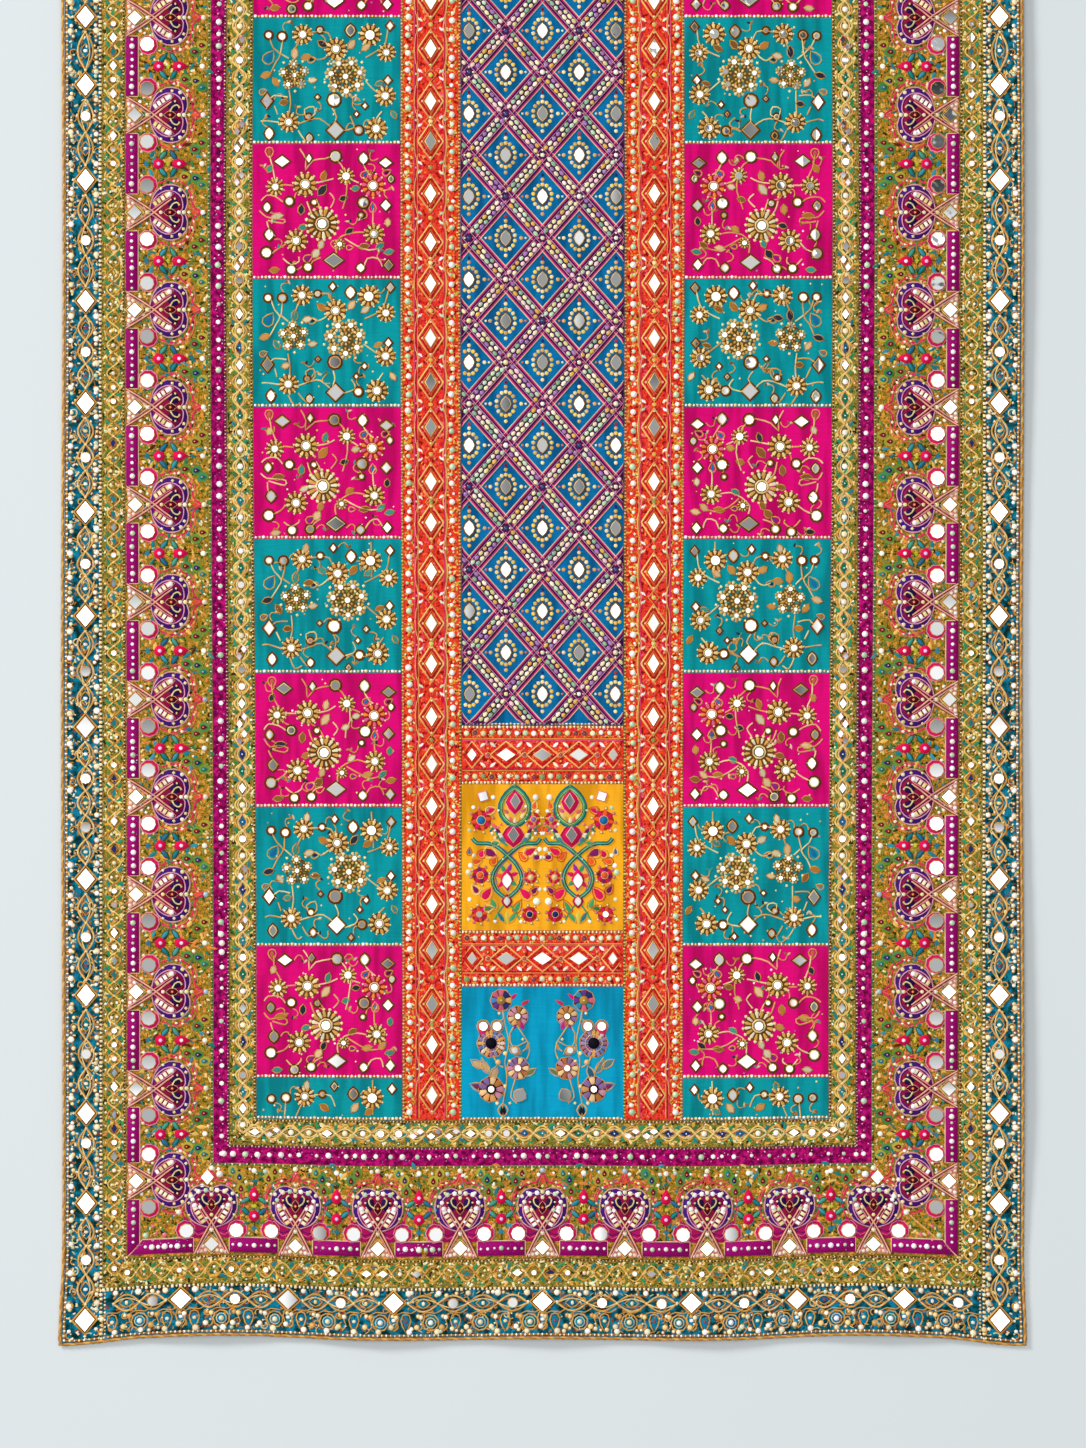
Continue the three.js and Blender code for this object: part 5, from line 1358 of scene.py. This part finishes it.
# The silk squares: mirrors in gilt petals on curling stems, with leaves, drops and beads. Places are given
# from the square's middle, first towards the centre line and then along the cloth. Squares of one colour
# share a layout, and the hand wavers from one to the next.
TEAL_LAYOUT = {
    # The places that each stem runs through.
    "vines": [
        [(-57, 44), (-53, 34), (-46, 27), (-51, 18), (-57, 7)], [(-46, 27), (-44, 38), (-44, 45)],
        [(-38, 22), (-46, 28)], [(-25, 46), (-33, 28)], [(-25, 47), (-10, 49), (1, 48), (6, 38)],
        [(-15, 24), (-8, 21), (-2, 24), (4, 30)], [(43, 64), (44, 29)],
        [(62, 54), (58, 36), (49, 29), (38, 24)], [(38, 0), (47, -8), (56, -14)],
        [(56, -31), (50, -38), (50, -47)], [(-60, -22), (-52, -15), (-40, -16)],
        [(-38, -10), (-37, -24), (-38, -36)], [(-66, -40), (-60, -39), (-48, -42)], [(-52, -25), (-49, -34)],
        [(-30, -44), (-16, -39), (-6, -38), (4, -45)], [(16, -50), (26, -47), (28, -42), (24, -36)],
        [(6, -44), (9, -36), (6, -28)], [(-38, -52), (-33, -62), (-27, -60)],
        [(-28, -50), (-21, -60), (-15, -56)], [(-20, -38), (-22, -28), (-14, -26), (-12, -33), (-18, -38)],
    ],
    # Place, half width and sort: 0 gilt, 1 cream, 2 with a larger mirror, 3 orange on red.
    "flowers": [(-25, 47, 10, 0), (9, 33, 11, 0), (43, 46, 11, 2), (60, 29, 9, 0), (58, -14, 10, 0),
                (50, -47, 11, 0), (-38, -42, 10, 0)],
    # Place, reach and number of flowers.
    "stars": [(19, 5, 16, 7), (-33, 6, 12, 5)],
    # Mirrors: shape, place and half sizes.
    "gems": [("almond", 24, 50, 6, 7), ("lozenge", 8, -49, 9.5, 9.5), ("lozenge", -60, -21, 6.5, 8.5),
             ("almond", -57, -53, 5.5, 7), ("lozenge", 63, 55, 4.6, 5.6), ("lozenge", 6, 57, 4, 5),
             ("round", -8, 50, 3.6, 3.6), ("round", -44, 45, 4.8, 4.8), ("round", -58, 45, 4.2, 4.2),
             ("round", 7, -20, 7, 7), ("round", 32, -49, 4.8, 4.8), ("lozenge", 21, -61, 3.4, 4),
             ("lozenge", 62, 0, 4.4, 5.2), ("lozenge", 38, -24, 3.4, 3.8), ("round", -19, -35, 3.6, 3.6),
             ("almond", -17, -56, 4.4, 5), ("lozenge", 30, -34, 3, 3.4), ("lozenge", -8, -17, 3, 3)],
    # Place, half sizes and turn, and for a drop half its length, its turn and its dye.
    "leaves": [(-61, 6, 5.5, 3.2, 0.3), (-22, 58, 4.5, 3, 1.4), (-5, 36, 5, 3.4, 2.6),
               (25, 37, 5.4, 3.4, 0.9), (40, 33, 5, 3, 0.6), (52, -3, 4.5, 2.4, 0.4), (-50, -2, 5, 3, 2.2),
               (-42, -22, 4, 3, 0.2), (67, -34, 4.6, 2.6, 2.2), (-20, 24, 5, 3.2, 0.2),
               (-33, 28, 6, 3.4, 1.5), (-15, 0, 4.5, 2.6, 0.1)],
    "drops": [(-57, 24, 6.5, 1.0, "b"), (-14, 22, 3.4, 0.2, "d"), (-64, -10, 3, 0.4, "c")],
}
PINK_LAYOUT = {
    "vines": [
        [(-57, 56), (-55, 44), (-51, 34), (-51, 26)], [(-43, 26), (-33, 26)],
        [(-26, 62), (-21, 52), (-21, 42), (-13, 50), (-1, 53), (6, 54), (14, 48), (18, 42)],
        [(-11, 28), (0, 30), (8, 33)], [(21, 32), (21, 20), (18, 10), (16, 2)], [(4, 18), (9, 12), (4, 4)],
        [(24, 31), (32, 28)], [(36, 48), (42, 40), (46, 36)], [(-11, 12), (-6, 2), (-4, -4)],
        [(-20, 10), (-16, 0), (-12, -6)], [(-66, 0), (-60, -6), (-51, -6), (-42, -8), (-44, -12), (-58, -9)],
        [(-66, 10), (-61, 15), (-51, 15), (-44, 10)], [(-60, -10), (-58, -18), (-52, -24)],
        [(-56, -42), (-47, -38), (-41, -32)], [(-44, -48), (-36, -54), (-28, -50), (-28, -46)],
        [(-18, -56), (-14, -50), (-6, -46)], [(9, -42), (9, -32), (16, -24), (28, -20), (38, -22)],
        [(18, -26), (30, -34), (42, -38), (54, -36)], [(38, -56), (42, -48), (51, -46), (55, -54)],
        [(46, -16), (46, 0), (48, 4)],
    ],
    "flowers": [(-52, 25, 9, 0), (-22, 27, 12, 0), (-4, -13, 16, 1), (-31, -30, 11, 0), (46, 25, 12, 3),
                (47, -22, 10, 0), (14, -32, 6, 0), (19, 36, 8, 2)],
    "stars": [],
    "gems": [("lozenge", -44, 51, 8.5, 6.5), ("lozenge", 8, -50, 10.5, 8), ("lozenge", 60, 48, 7.5, 6),
             ("almond", 36, 53, 6, 7), ("round", 8, 54, 6, 6), ("round", 36, 9, 6, 6),
             ("almond", -59, 5, 5, 6), ("round", -38, 9, 5, 5), ("round", -59, -42, 6, 6),
             ("round", -35, -58, 5, 5), ("round", -18, -56, 5, 5), ("almond", -57, -24, 6, 7),
             ("lozenge", 60, 6, 6, 6.5), ("almond", 34, -56, 5.5, 5.5), ("lozenge", 61, -54, 5.5, 6.5),
             ("round", -13, 9, 3.6, 3.6), ("lozenge", -17, 54, 4, 5.5), ("round", 34, -4, 3.2, 3.2),
             ("almond", 64, 32, 4, 4.6)],
    "leaves": [(-50, -5, 6, 3.2, 0.1), (-2, 35, 5, 3, 1.3), (-4, 21, 6.4, 4, 0.9), (17, 12, 4, 3, 0.3),
               (28, 24, 4, 3, 0.2), (-26, 2, 5, 3.4, 1.5), (-24, -15, 4.5, 3, 0.3), (23, -19, 4.4, 3, 0.6),
               (38, -36, 5.5, 3, 0.2), (54, -34, 5, 3, 0.7), (-6, -33, 4.6, 3, 1.2), (-11, -42, 5, 4, 0.9),
               (-52, -59, 5, 3, 0.1), (61, -10, 4, 3, 1.5), (62, -40, 5, 3, 0.2), (-57, 42, 4, 3, 1.1)],
    "drops": [(-57, 58, 4.5, -1.5, "c"), (46, 5, 4, 1.6, "b"), (24, -36, 2.4, 0, "p"),
              (-18, -46, 4, 0.6, "p"), (38, 38, 4, 0.8, "b"), (60, 39, 3.4, 0.5, "d")],
}
DROP_DYES = {"b": dye("1a6fa3"), "c": dye("b06a35"), "d": dye("2d2436"), "p": dye("7b2a86")}
LEAF_DYES = [dye(c) for c in ("e0b98a", "c98f4a", "3c8f83", "2d2d3a", "d9c9a8", "b5742f", "8a5a2a")]


def spray(s, layout, low, high, pink=False):
    """Sews one square's layout where it lies between low and high on b."""
    def ok(b, half=0):
        return low + half + 1.5 < b < high - half - 1.5

    def near(*p):
        return tuple(q + vary(-1.1, 1.1) for q in p)

    for knots in layout["vines"]:
        if all(ok(b) for _, b in knots):
            s.curve([near(*k) for k in knots], 1.5, pick((PALE_GOLD, dye("eec078"), dye("e0a552"))), tall=0.9)
    for x, y, half, turn, kind in layout["drops"]:
        if ok(y, half):
            x, y = near(x, y)
            s.pad("drop", x, y, half, half * 0.8, DROP_DYES[kind], turn, 0.9)
            s.outline("drop", x, y, half + 1.1, half * 1.25 + 1.1, GOLD, 1.3, turn)
    for x, y, half_x, half_y, turn in layout["leaves"]:
        if ok(y, half_x):
            x, y = near(x, y)
            s.plate("leaf", x, y, half_x + 1.6, half_y * 2 + 1.8, dye("5a3414"), turn, 0.3)
            s.plate("leaf", x, y, half_x, half_y * 1.8, pick(LEAF_DYES), turn, 0.7)
            s.outline("leaf", x, y, half_x + 0.6, half_y * 2 + 0.6, GOLD, 1.3, turn)
    for shape, x, y, half_x, half_y in layout["gems"]:
        if ok(y, half_y):
            x, y = near(x, y)
            s.plate(shape, x, y, half_x + 1.3, half_y + 1.3, dye("5a3414"), 0, 0.5)
            rim = pick((GOLD, PALE_GOLD, dye("e0a060")))
            s.mirror(shape, x, y, half_x - 2.7, half_y - 2.7, rim=rim, wide=2.3, tall=1.2,
                     painted_reflection=pick((1, 1, 0.8, 0.4, 0.22, 0.1)))
            # A short curl runs off from each mirror to a pair of small leaves.
            a = vary(0, TAU)
            reach = [(half_x + r) * np.array([math.cos(a + w), math.sin(a + w)]) + (x, y) for r, w in
                     ((1, 0), (5, 0.35), (9, 0.25), (11, -0.1))]
            if all(ok(p[1], 2) and abs(p[0]) < 66 for p in reach):
                s.curve(reach, 1.2, GOLD, tall=0.8)
                for turn in (-0.6, 0.7):
                    x, y = reach[-1] + (2 * turn, 1)
                    s.pad("leaf", x, y, 3.4, 3.0, pick(LEAF_DYES), a + turn, 0.9)
    for x, y, half, sort in layout["flowers"]:
        if ok(y, half):
            x, y = near(x, y)
            ground, petals = (DEEP_GOLD, GOLD) if sort != 3 else (RED, dye("f08a3a"))
            s.plate("round", x, y, half, half, dye("6b3f16") if sort != 3 else dye("a3201f"), 0, 0.4)
            s.blossom(x, y, half, 11 if half < 14 else 16, petals, ground, turn=vary(0, 1),
                      tip=(PALE_GOLD, CREAM, PALE_GOLD, ROSE)[sort])
            if sort == 2:
                s.mirror("round", x, y, half * 0.34, rim=PALE_GOLD, wide=1.5, painted_reflection=1, tall=2.1)
    for x, y, reach, many in layout["stars"]:
        if ok(y, reach):
            x, y = near(x, y)
            s.plate("round", x, y, reach * 1.05, reach * 1.05, dye("5f4a22"), 0, 0.3)
            for k in range(many):
                a = TAU * (k + 0.3) / many
                px, py = x + reach * 0.92 * math.cos(a), y + reach * 0.92 * math.sin(a)
                s.blossom(px, py, reach * 0.42, 8, GOLD, dye("8a5a22"), turn=a, tip=PALE_GOLD)
                a += math.pi / many
                s.pad("leaf", x + 0.6 * reach * math.cos(a), y + 0.6 * reach * math.sin(a), 4.6, 3.6,
                      pick((SEA, GOLD, dye("2f8f86"), dye("7f8f35"))), a, 1.0)
                s.bead(x + 1.35 * reach * math.cos(a), y + 1.35 * reach * math.sin(a), 1.8, PALE_GOLD)
            s.blossom(x, y, reach * 0.46, 9, GOLD, BRONZE, tip=PALE_GOLD)
    for _ in range(int((high - low) / 6)):
        s.bead(vary(-68, 68), vary(low + 4, high - 4), vary(0.9, 1.5),
               pick((GOLD, PALE_GOLD, LILAC, WHITE) if pink else (GOLD, PALE_GOLD)))


width = FIELD["half"] - LONG_BANDS["outer"]
for piece in [p for n, p in pieces.items() if "_patch_" in n]:
    s = Sewing()
    low, high = piece.start, piece.start + piece.length
    s.limits = (low + 0.4, high - 0.4, 0.4, width - 0.4)
    whole = piece.length > 100
    middle = (low + high) / 2 if whole else (high - 66 if low < 500 else low + 66)
    s.at(middle, width / 2, -math.pi / 2, True)
    spray(s, PINK_LAYOUT if piece.pink else TEAL_LAYOUT, low - middle, high - middle, piece.pink)
    s.at(0, 0)
    seam_beads(s, low + 1.6, 2, low + 1.6, width - 2, 3.8, 1.8, *WHITE_SEAM)
    if high > LENGTH - 230:
        seam_beads(s, high - 1.6, 2, high - 1.6, width - 2, 3.8, 1.8, *WHITE_SEAM)
    s.sew_on(piece, "pink_silk" if piece.pink else "teal_silk")


# The yellow patch: two trees of buds and tulips, each the other's mirror image.
def tree(s):
    green, teal, pale = dye("3f9f62"), dye("156a78"), dye("c9dc9a")
    blush, ember, amber = dye("e0185a"), dye("ee5a2c"), dye("e8962c")
    for knots in ([(-71, 19), (-66, 14), (-56, 14), (-47, 11), (-38, 4), (-26, -8), (-21, -21), (-26, -33),
                   (-36, -41)],
                  [(-2, 19), (-6, 14), (-15, 14), (-24, 11), (-33, 4), (-46, -9), (-51, -21), (-47, -33),
                   (-37, -41)]):
        for wide, colour, tall in ((4.6, teal, 0.9), (2.6, green, 1.5), (1.0, pale, 1.9)):
            s.curve(knots, wide, colour, THREAD, tall=tall)
        s.curve([(x + 3.4, y) for x, y in knots[2:-1]], 0.9, pick((GOLD, dye("8a5a9c"))), THREAD)
    # The upper bud: green outlines round a pink heart and a lozenge mirror painted dark, a painted
    # reflection.
    bud = np.array([(0, 21), (-9, 14), (-15, 3), (-14, -8), (-7, -16), (0, -19), (7, -16), (14, -8), (15, 3),
                    (9, 14), (0, 21)])
    s.patch(bud[:-1] * 0.9 + (-28, 50), dye("efb43c"), 0.4)
    for grow, colour, wide in ((1.04, teal, 3.0), (0.98, green, 2.6), (0.9, pale, 1.1),
                               (0.84, dye("2f7f5a"), 1.0)):
        s.curve(bud * grow + (-28, 50), wide, colour, THREAD, tall=1.2 if wide > 2.8 else 1.6)
    s.plate("almond", -28, 55, 10.5, 13, blush, 0, 0.9)
    s.outline("almond", -28, 55, 10.2, 12.8, dye("f6c0a0"), 1.2, tall=1.3)
    s.mirror("lozenge", -27.5, 56, 4.0, 7.0, rim=dye("f6ecd0"), wide=1.7, painted_reflection=0.1, tall=1.7)
    for dx, y, turn, colour in ((-8, 41, 2.2, PALE_GOLD), (8, 42, 0.9, PALE_GOLD), (-4, 38, 1.9, CORAL),
                                (4, 38.5, 1.2, GOLD), (0, 37, 1.57, CREAM), (-9, 46, 2.5, CORAL),
                                (9, 47, 0.6, ROSE)):
        s.pad("drop", -28 + dx, y, 3.8, 3.4, colour, turn, 1.2, base=0.4)
    s.bead(-28, 72, 2.6, LEAF)
    # The second bud, a pink heart between petals and scrolls.
    s.plate("almond", -29.5, 22, 13, 13, dye("c01a4a"), 0, 0.5)
    s.outline("almond", -29.5, 22, 13, 13, dye("f0b060"), 1.4, tall=1.0)
    s.plate("almond", -29.5, 22, 10, 10.5, blush, 0, 1.0)
    s.mirror("lozenge", -29.5, 22.5, 4.6, 7.0, rim=dye("f6e0c0"), wide=1.7, painted_reflection=0.08, tall=1.8)
    for side in (-1, 1):
        curl(s, -29 + side * 19, 23, 6, 0.4 if side > 0 else 2.7, side, teal, 2.4, dye("f8e09a"))
        s.curve([(-29 + side * 7, 12), (-29 + side * 14, 17), (-29 + side * 19, 27), (-29 + side * 25, 31)],
                2.2, green, THREAD, tall=1.3)
        for k, colour in enumerate((dye("5a7f9c"), dye("e8dcc0"), PLUM, CORAL)):
            s.pad("drop", -29 + side * (11 + 3 * k), 18 + 4.4 * k, 4.6, 3.6, colour, 2.3 if side < 0 else 0.8,
                  1.3, base=0.3)
        for k in range(4):
            s.bead(-29 + side * (13 + 3 * k), 33 - 3 * k, 1.6, pick((ROSE, PALE_GOLD, WHITE, CORAL)), 1.8)

    def tulip(x, y, half, one, other, heart):
        s.plate("round", x, y, half * 0.86, half * 0.86, dye("9c2a1c"), 0, 0.4)
        for k in range(8):
            a = TAU * (k + 0.25) / 8
            s.pad("drop", x + 0.62 * half * math.cos(a), y + 0.62 * half * math.sin(a), half * 0.46,
                  half * 0.46, one if k % 2 else other, a, 1.2)
            s.set_bead(x + half * 1.02 * math.cos(a), y + half * 1.02 * math.sin(a), 1.2,
                       pick((PALE_GOLD, ROSE)), GOLD)
        if heart is None:
            s.mirror("round", x, y, half * 0.24, wide=1.4, tall=1.9)
        else:
            s.plate("round", x, y, half * 0.34, half * 0.34, heart, 0, 1.5)
            s.outline("round", x, y, half * 0.38, half * 0.38, PALE_GOLD, 1.0, tall=1.7)

    tulip(-62, 37, 12, blush, ember, dye("1b6fac"))
    tulip(-9, 38, 8, blush, amber, LILAC)
    tulip(-63, -18, 9.5, blush, PLUM, ember)
    tulip(-12, -20, 7.5, blush, ember, PALE_GOLD)
    tulip(-64, -57, 9.5, blush, ember, None)
    tulip(-13, -57, 9, RED, blush, NAVY)
    for x, y, half_x, half_y, colour, turn in (
            (-52, 4, 7, 6, PLUM, -0.4), (-61, 4, 5, 4.6, blush, 0.8), (-49, -3, 5, 4, ember, 1.2),
            (-12, 6, 7, 5, blush, 0.5), (-20, 1, 5, 4, ember, 2.4), (-5, 0, 4.4, 4, PLUM, 0),
            (-56, -36, 8, 6, blush, 0.9), (-50, -46, 6, 4, green, 2.0), (-18, -36, 8, 6, blush, 2.4),
            (-25, -49, 7, 4, green, 1.1), (-3, 28, 4.4, 4, ember, 0.4), (-52, 47, 5, 4, blush, 0.3),
            (-74, 6, 3.4, 2.4, dye("2d6f9f"), 1.5), (-54, -51, 4.6, 3.4, LEAF, 0.2),
            (-68, -32, 5, 4, PLUM, 2.2), (-8, -33, 4.6, 4, PLUM, 0.8), (-47, 14, 4, 3, green, 0.2),
            (-8, 52, 4, 3, ember, 1.3), (-66, -4, 5, 4, ember, 0.2)):
        s.pad("drop", x, y, half_x, half_y * 1.2, colour, turn, 1.1)
        s.outline("drop", x, y, half_x + 0.8, half_y * 1.5 + 0.8,
                  pick((GOLD, dye("c94a2a"), PALE_GOLD)), 1.2, turn)
    # The teardrop that the arms close round.
    s.plate("almond", -36, -20, 12, 16, dye("f0b548"), 0, 0.4)
    for k in range(7):
        a = TAU * k / 7 + 0.3
        s.pad("drop", -36 + 8 * math.cos(a), -20 + 10.5 * math.sin(a), 4.4, 4.4,
              (blush, dye("9c2fa0"), green, ember)[k % 4], a, 1.2, base=0.3)
    s.plate("almond", -36, -22, 7.4, 11, blush, 0, 1.3)
    s.mirror("almond", -36, -23.5, 4.2, 6.4, rim=dye("f6e0c0"), wide=1.7, painted_reflection=0.42, tall=2.0)
    s.plate("almond", -36, -44, 6.4, 7.4, dye("b81a4a"), 0, 0.9)
    s.mirror("almond", -36, -44, 2.6, 3.6, rim=dye("f0d0b0"), wide=1.5, painted_reflection=0.3, tall=1.8)
    for side in (-1, 1):
        s.curve([(-36 + side * 2, -46), (-36 + side * 8, -54), (-36 + side * 13, -63)], 2.0, green, THREAD)
        s.pad("leaf", -36 + side * 6, -60, 7, 5, (SEA, green)[side > 0], 1.57 - side * 0.6, 1.2)
        s.outline("leaf", -36 + side * 6, -60, 7.6, 6, GOLD, 1.0, 1.57 - side * 0.6)
        s.curve([(-36 + side * 12, -50), (-36 + side * 18, -56)], 1.2, GOLD)
    s.pad("leaf", -36, -60, 8.4, 6, dye("d8c24a"), math.pi / 2, 1.3)
    s.mirror("square", -60, 61, 5.2, 5.2, rim=ROSE, wide=1.6, turn=0.3, painted_reflection=0.4)
    for x, y, half in ((-7, 60, 3.2), (-50, 60, 2.4), (-5, 46, 2.4), (-70, 50, 2.2), (-73, -8, 2.8),
                       (-75, -15, 3.2), (-70, 2, 2.2), (-6, -44, 3.8), (-17, 51, 2.0), (-3, -32, 2.4),
                       (-74, -42, 2.4), (-44, 47, 2.0), (-3, 8, 2.8), (-7, 4, 2.4), (-1.5, 0, 2.2),
                       (-22, -64, 2.0), (-48, -64, 2.0), (-74, 27, 2.2), (-1, 24, 2.2), (-40, -2, 1.8),
                       (-75, -62, 2)):
        s.bead(x, y, half, pick((WHITE, PEARL, CREAM, MINT)), 1.5)


# The blue patch: two sprays of flowers on gilt stems.
def blue_spray(s):
    stem = dye("e0ad5a")
    for knots in ([(-41, 45), (-38, 30), (-34, 10), (-38, -8), (-36, -26), (-40, -50), (-40, -62)],
                  [(-26, 28), (-18, 16), (-14, 8), (-20, 2)], [(-26, 30), (-33, 20), (-30, 6), (-16, 12)],
                  [(-26, -20), (-30, -34), (-32, -44), (-26, -50)], [(-52, -20), (-58, -10), (-62, -4)],
                  [(-50, -2), (-46, -10), (-40, -14)], [(-40, 42), (-40, 34), (-50, 30)],
                  [(-15, 12), (-13, 2), (-16, -6)]):
        s.curve(knots, 1.3, stem, tall=0.8)

    def bloom(x, y, half, petals, ring_dye, heart, white=True):
        s.plate("round", x, y, half, half, dye("4a2412"), 0, 0.3)
        s.outline("round", x, y, half, half, dye("d08a4a"), 1.3)
        for k in range(petals):
            a = TAU * k / petals
            s.pad("petal", x + 0.66 * half * math.cos(a), y + 0.66 * half * math.sin(a), half * 0.36,
                  half * 4.0 / petals, pick(ring_dye), a, 1.2, base=0.4)
        s.plate("round", x, y, half * 0.42, half * 0.42, heart, 0, 1.7)
        if white:
            s.mirror("round", x, y, half * 0.2, wide=1.3, painted_reflection=1, tall=2.0)

    gilt = [dye("e0a060"), dye("f0c890"), dye("b5703a"), dye("c98a9c"), dye("8a6a9c")]
    jewel = [NAVY, dye("4f7fc0"), dye("6a3a8a"), dye("d0607a"), dye("e8b070"), dye("2f8fa8")]
    s.pad("drop", -29, 57, 5.2, 3.4, PINK, 0.7, 1.2)
    s.pad("drop", -17, 51, 5.2, 3.4, dye("e0304a"), 0.5, 1.2)
    bloom(-42, 53, 11, 8, jewel, dye("b58a3a"), False)
    s.bead(-42, 53, 2.6, PALE_GOLD, 2.4)
    bloom(-25, 37, 10.5, 9, gilt, dye("8a6a4a"))
    s.pad("drop", -21, 28, 6, 6, dye("c02a86"), -1.2, 1.3)
    s.pad("drop", -28, 27, 4, 4, dye("7b2a86"), -2.0, 1.3)
    s.patch([(-66, 28), (-60, 32), (-54, 28), (-56, 20), (-64, 18)], dye("d8336a"), 0.7)
    for x in (-60, -46):
        s.outline("round", x, 27, 6.4, 6.4, dye("c98a45"), 1.6)
        s.mirror("round", x, 27, 3.6, wide=1.6, painted_reflection=1, tall=1.6)
    bloom(-52, 10, 14.5, 16, [dye("9c8ab0"), dye("e9c8b8"), dye("6a7ab0"), dye("e0a060"), dye("a86a86")],
          dye("14101c"), False)
    s.outline("round", -52, 10, 9, 9, PALE_GOLD, 1.2, tall=1.6)
    s.pad("leaf", -28, 3, 7, 8, dye("d9a678"), -0.5, 1.0)
    s.outline("leaf", -28, 3, 7.8, 9, GOLD, 1.2, -0.5)
    s.mirror("round", -28, 3, 2.6, painted_reflection=0.3)
    s.pad("leaf", -15, 7, 5, 4, dye("c98a45"), 1.2, 1.0)
    s.bead(-45, -9, 3.0, dye("e8b56a"), 1.8)
    bloom(-25, -15, 11.5, 10, gilt, dye("b5706a"))
    s.pad("leaf", -12, -19, 6, 5, dye("6b7f4a"), 0.6, 1.0)
    s.outline("leaf", -12, -19, 7, 6, GOLD, 1.2, 0.6)
    for x, y, turn in ((-66, -11, -0.6), (-58, -14, -1.0), (-49, -20, 1.2)):
        s.pad("leaf", x, y, 7.5, 7, pick((dye("c9a678"), dye("5f7f7a"), dye("2f5f7a"))), turn, 1.0)
        s.outline("leaf", x, y, 8.4, 8, dye("d9a05a"), 1.4, turn)
    bloom(-52, -36, 13, 9, gilt, dye("241a1a"))
    s.pad("drop", -67, -33, 6, 5, dye("7b2a56"), 2.8, 1.1)
    s.outline("drop", -67, -33, 7, 7, GOLD, 1.2, 2.8)
    s.mirror("almond", -23, -42, 6.4, 6.4, rim=dye("d9a05a"), wide=1.6, turn=-0.5, painted_reflection=0.12)
    s.pad("drop", -40, -57, 6, 6, dye("1c1a24"), math.pi / 2, 1.2)
    s.outline("almond", -40, -57, 5.6, 7, GOLD, 1.5)
    for x, y, half in ((-38, -33, 2.2), (-33, -8, 2.0), (-44, 40, 1.8), (-20, 14, 1.8), (-33, -50, 1.8),
                       (-46, -50, 2.0), (-38, 0, 2.4)):
        s.bead(x, y, half, PALE_GOLD, 1.5)


for name, motif in (("yellow_tree_patch", tree), ("blue_flower_patch", blue_spray)):
    piece = pieces[name]
    s = Sewing()
    low, high, half = piece.start, piece.start + piece.length, LONG_BANDS["inner"]
    s.limits = (low + 0.4, high - 0.4, 0.4, 2 * half - 0.4)
    for mirrored in (False, True):
        motif(s.at((low + high) / 2, half, -math.pi / 2, mirrored))
    s.at(0, 0)
    if low < 230:
        seam_beads(s, low + 1.4, 2, low + 1.4, 2 * half - 2, 3.8, 1.7, *WHITE_SEAM)
    s.sew_on(piece, "yellow_silk" if "yellow" in name else "blue_silk")

# The piping: two gilt cords twisted together and sewn round the edge. apart is how far each cord's middle
# stands from their common one, which lies high above the underside.
CORD, IN, TWIST = 1.25, 1.75, 14.0
apart, high, half = 0.62, 1.95, HALF_WIDTH - IN
corners = [(-half, IN), (half, IN), (half, LENGTH - IN), (-half, LENGTH - IN)]
route = []
for (u0, v0), (u1, v1) in zip(corners, corners[1:] + corners[:1]):
    many = int(math.hypot(u1 - u0, v1 - v0) / 6)
    route += [(u0 + (u1 - u0) * i / many, v0 + (v1 - v0) * i / many) for i in range(many)]
route = np.array(route)
run = np.roll(route, -1, axis=0) - np.roll(route, 1, axis=0)
run /= np.hypot(run[:, 0], run[:, 1])[:, None]
across = np.column_stack([-run[:, 1], run[:, 0]])
n, sides_of_cord = len(route), 4
points, triangles, dyes = [], [], []
for strand in range(2):
    spin = TAU * np.arange(n) * round(6 * n / TWIST) / n + math.pi * strand
    for k in range(sides_of_cord):
        a = TAU * k / sides_of_cord
        out = apart * np.cos(spin) + CORD * math.cos(a)
        up = high + apart * np.sin(spin) + CORD * math.sin(a)
        place = route + across * out[:, None]
        points.append(laid(place[:, 0], place[:, 1], np.maximum(up, 0.05)))
        # Painted light and shade: each strand is painted lighter where its twist brings it up on top and
        # darker where it dips under.
        dyes.append(np.outer(1 + 0.3 * np.sin(spin), GOLD if strand else dye("b97f34")))
    i = np.arange(n)
    for k in range(sides_of_cord):
        a, b = (strand * sides_of_cord + k) * n, (strand * sides_of_cord + (k + 1) % sides_of_cord) * n
        j = (i + 1) % n
        triangles += [np.column_stack([a + i, b + i, b + j]), np.column_stack([a + i, b + j, a + j])]
points, triangles, dyes = np.vstack(points), np.vstack(triangles), np.vstack(dyes)
mesh = bpy.data.meshes.new("edge_piping_cord")
mesh.from_pydata(points.tolist(), [], triangles.tolist())
mesh.materials.append(STITCH_FINISHES[GILT])
mesh.polygons.foreach_set("use_smooth", np.ones(len(triangles), dtype=bool))
colours = mesh.attributes.new("dye", "FLOAT_COLOR", "POINT")
colours.data.foreach_set("color", np.column_stack([np.clip(dyes, 0, 1), np.ones(len(dyes))]).ravel())
piping = bpy.data.objects.new("edge_piping_cord", mesh)
bpy.context.scene.collection.objects.link(piping)
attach(piping, "root")
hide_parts("edge_piping")
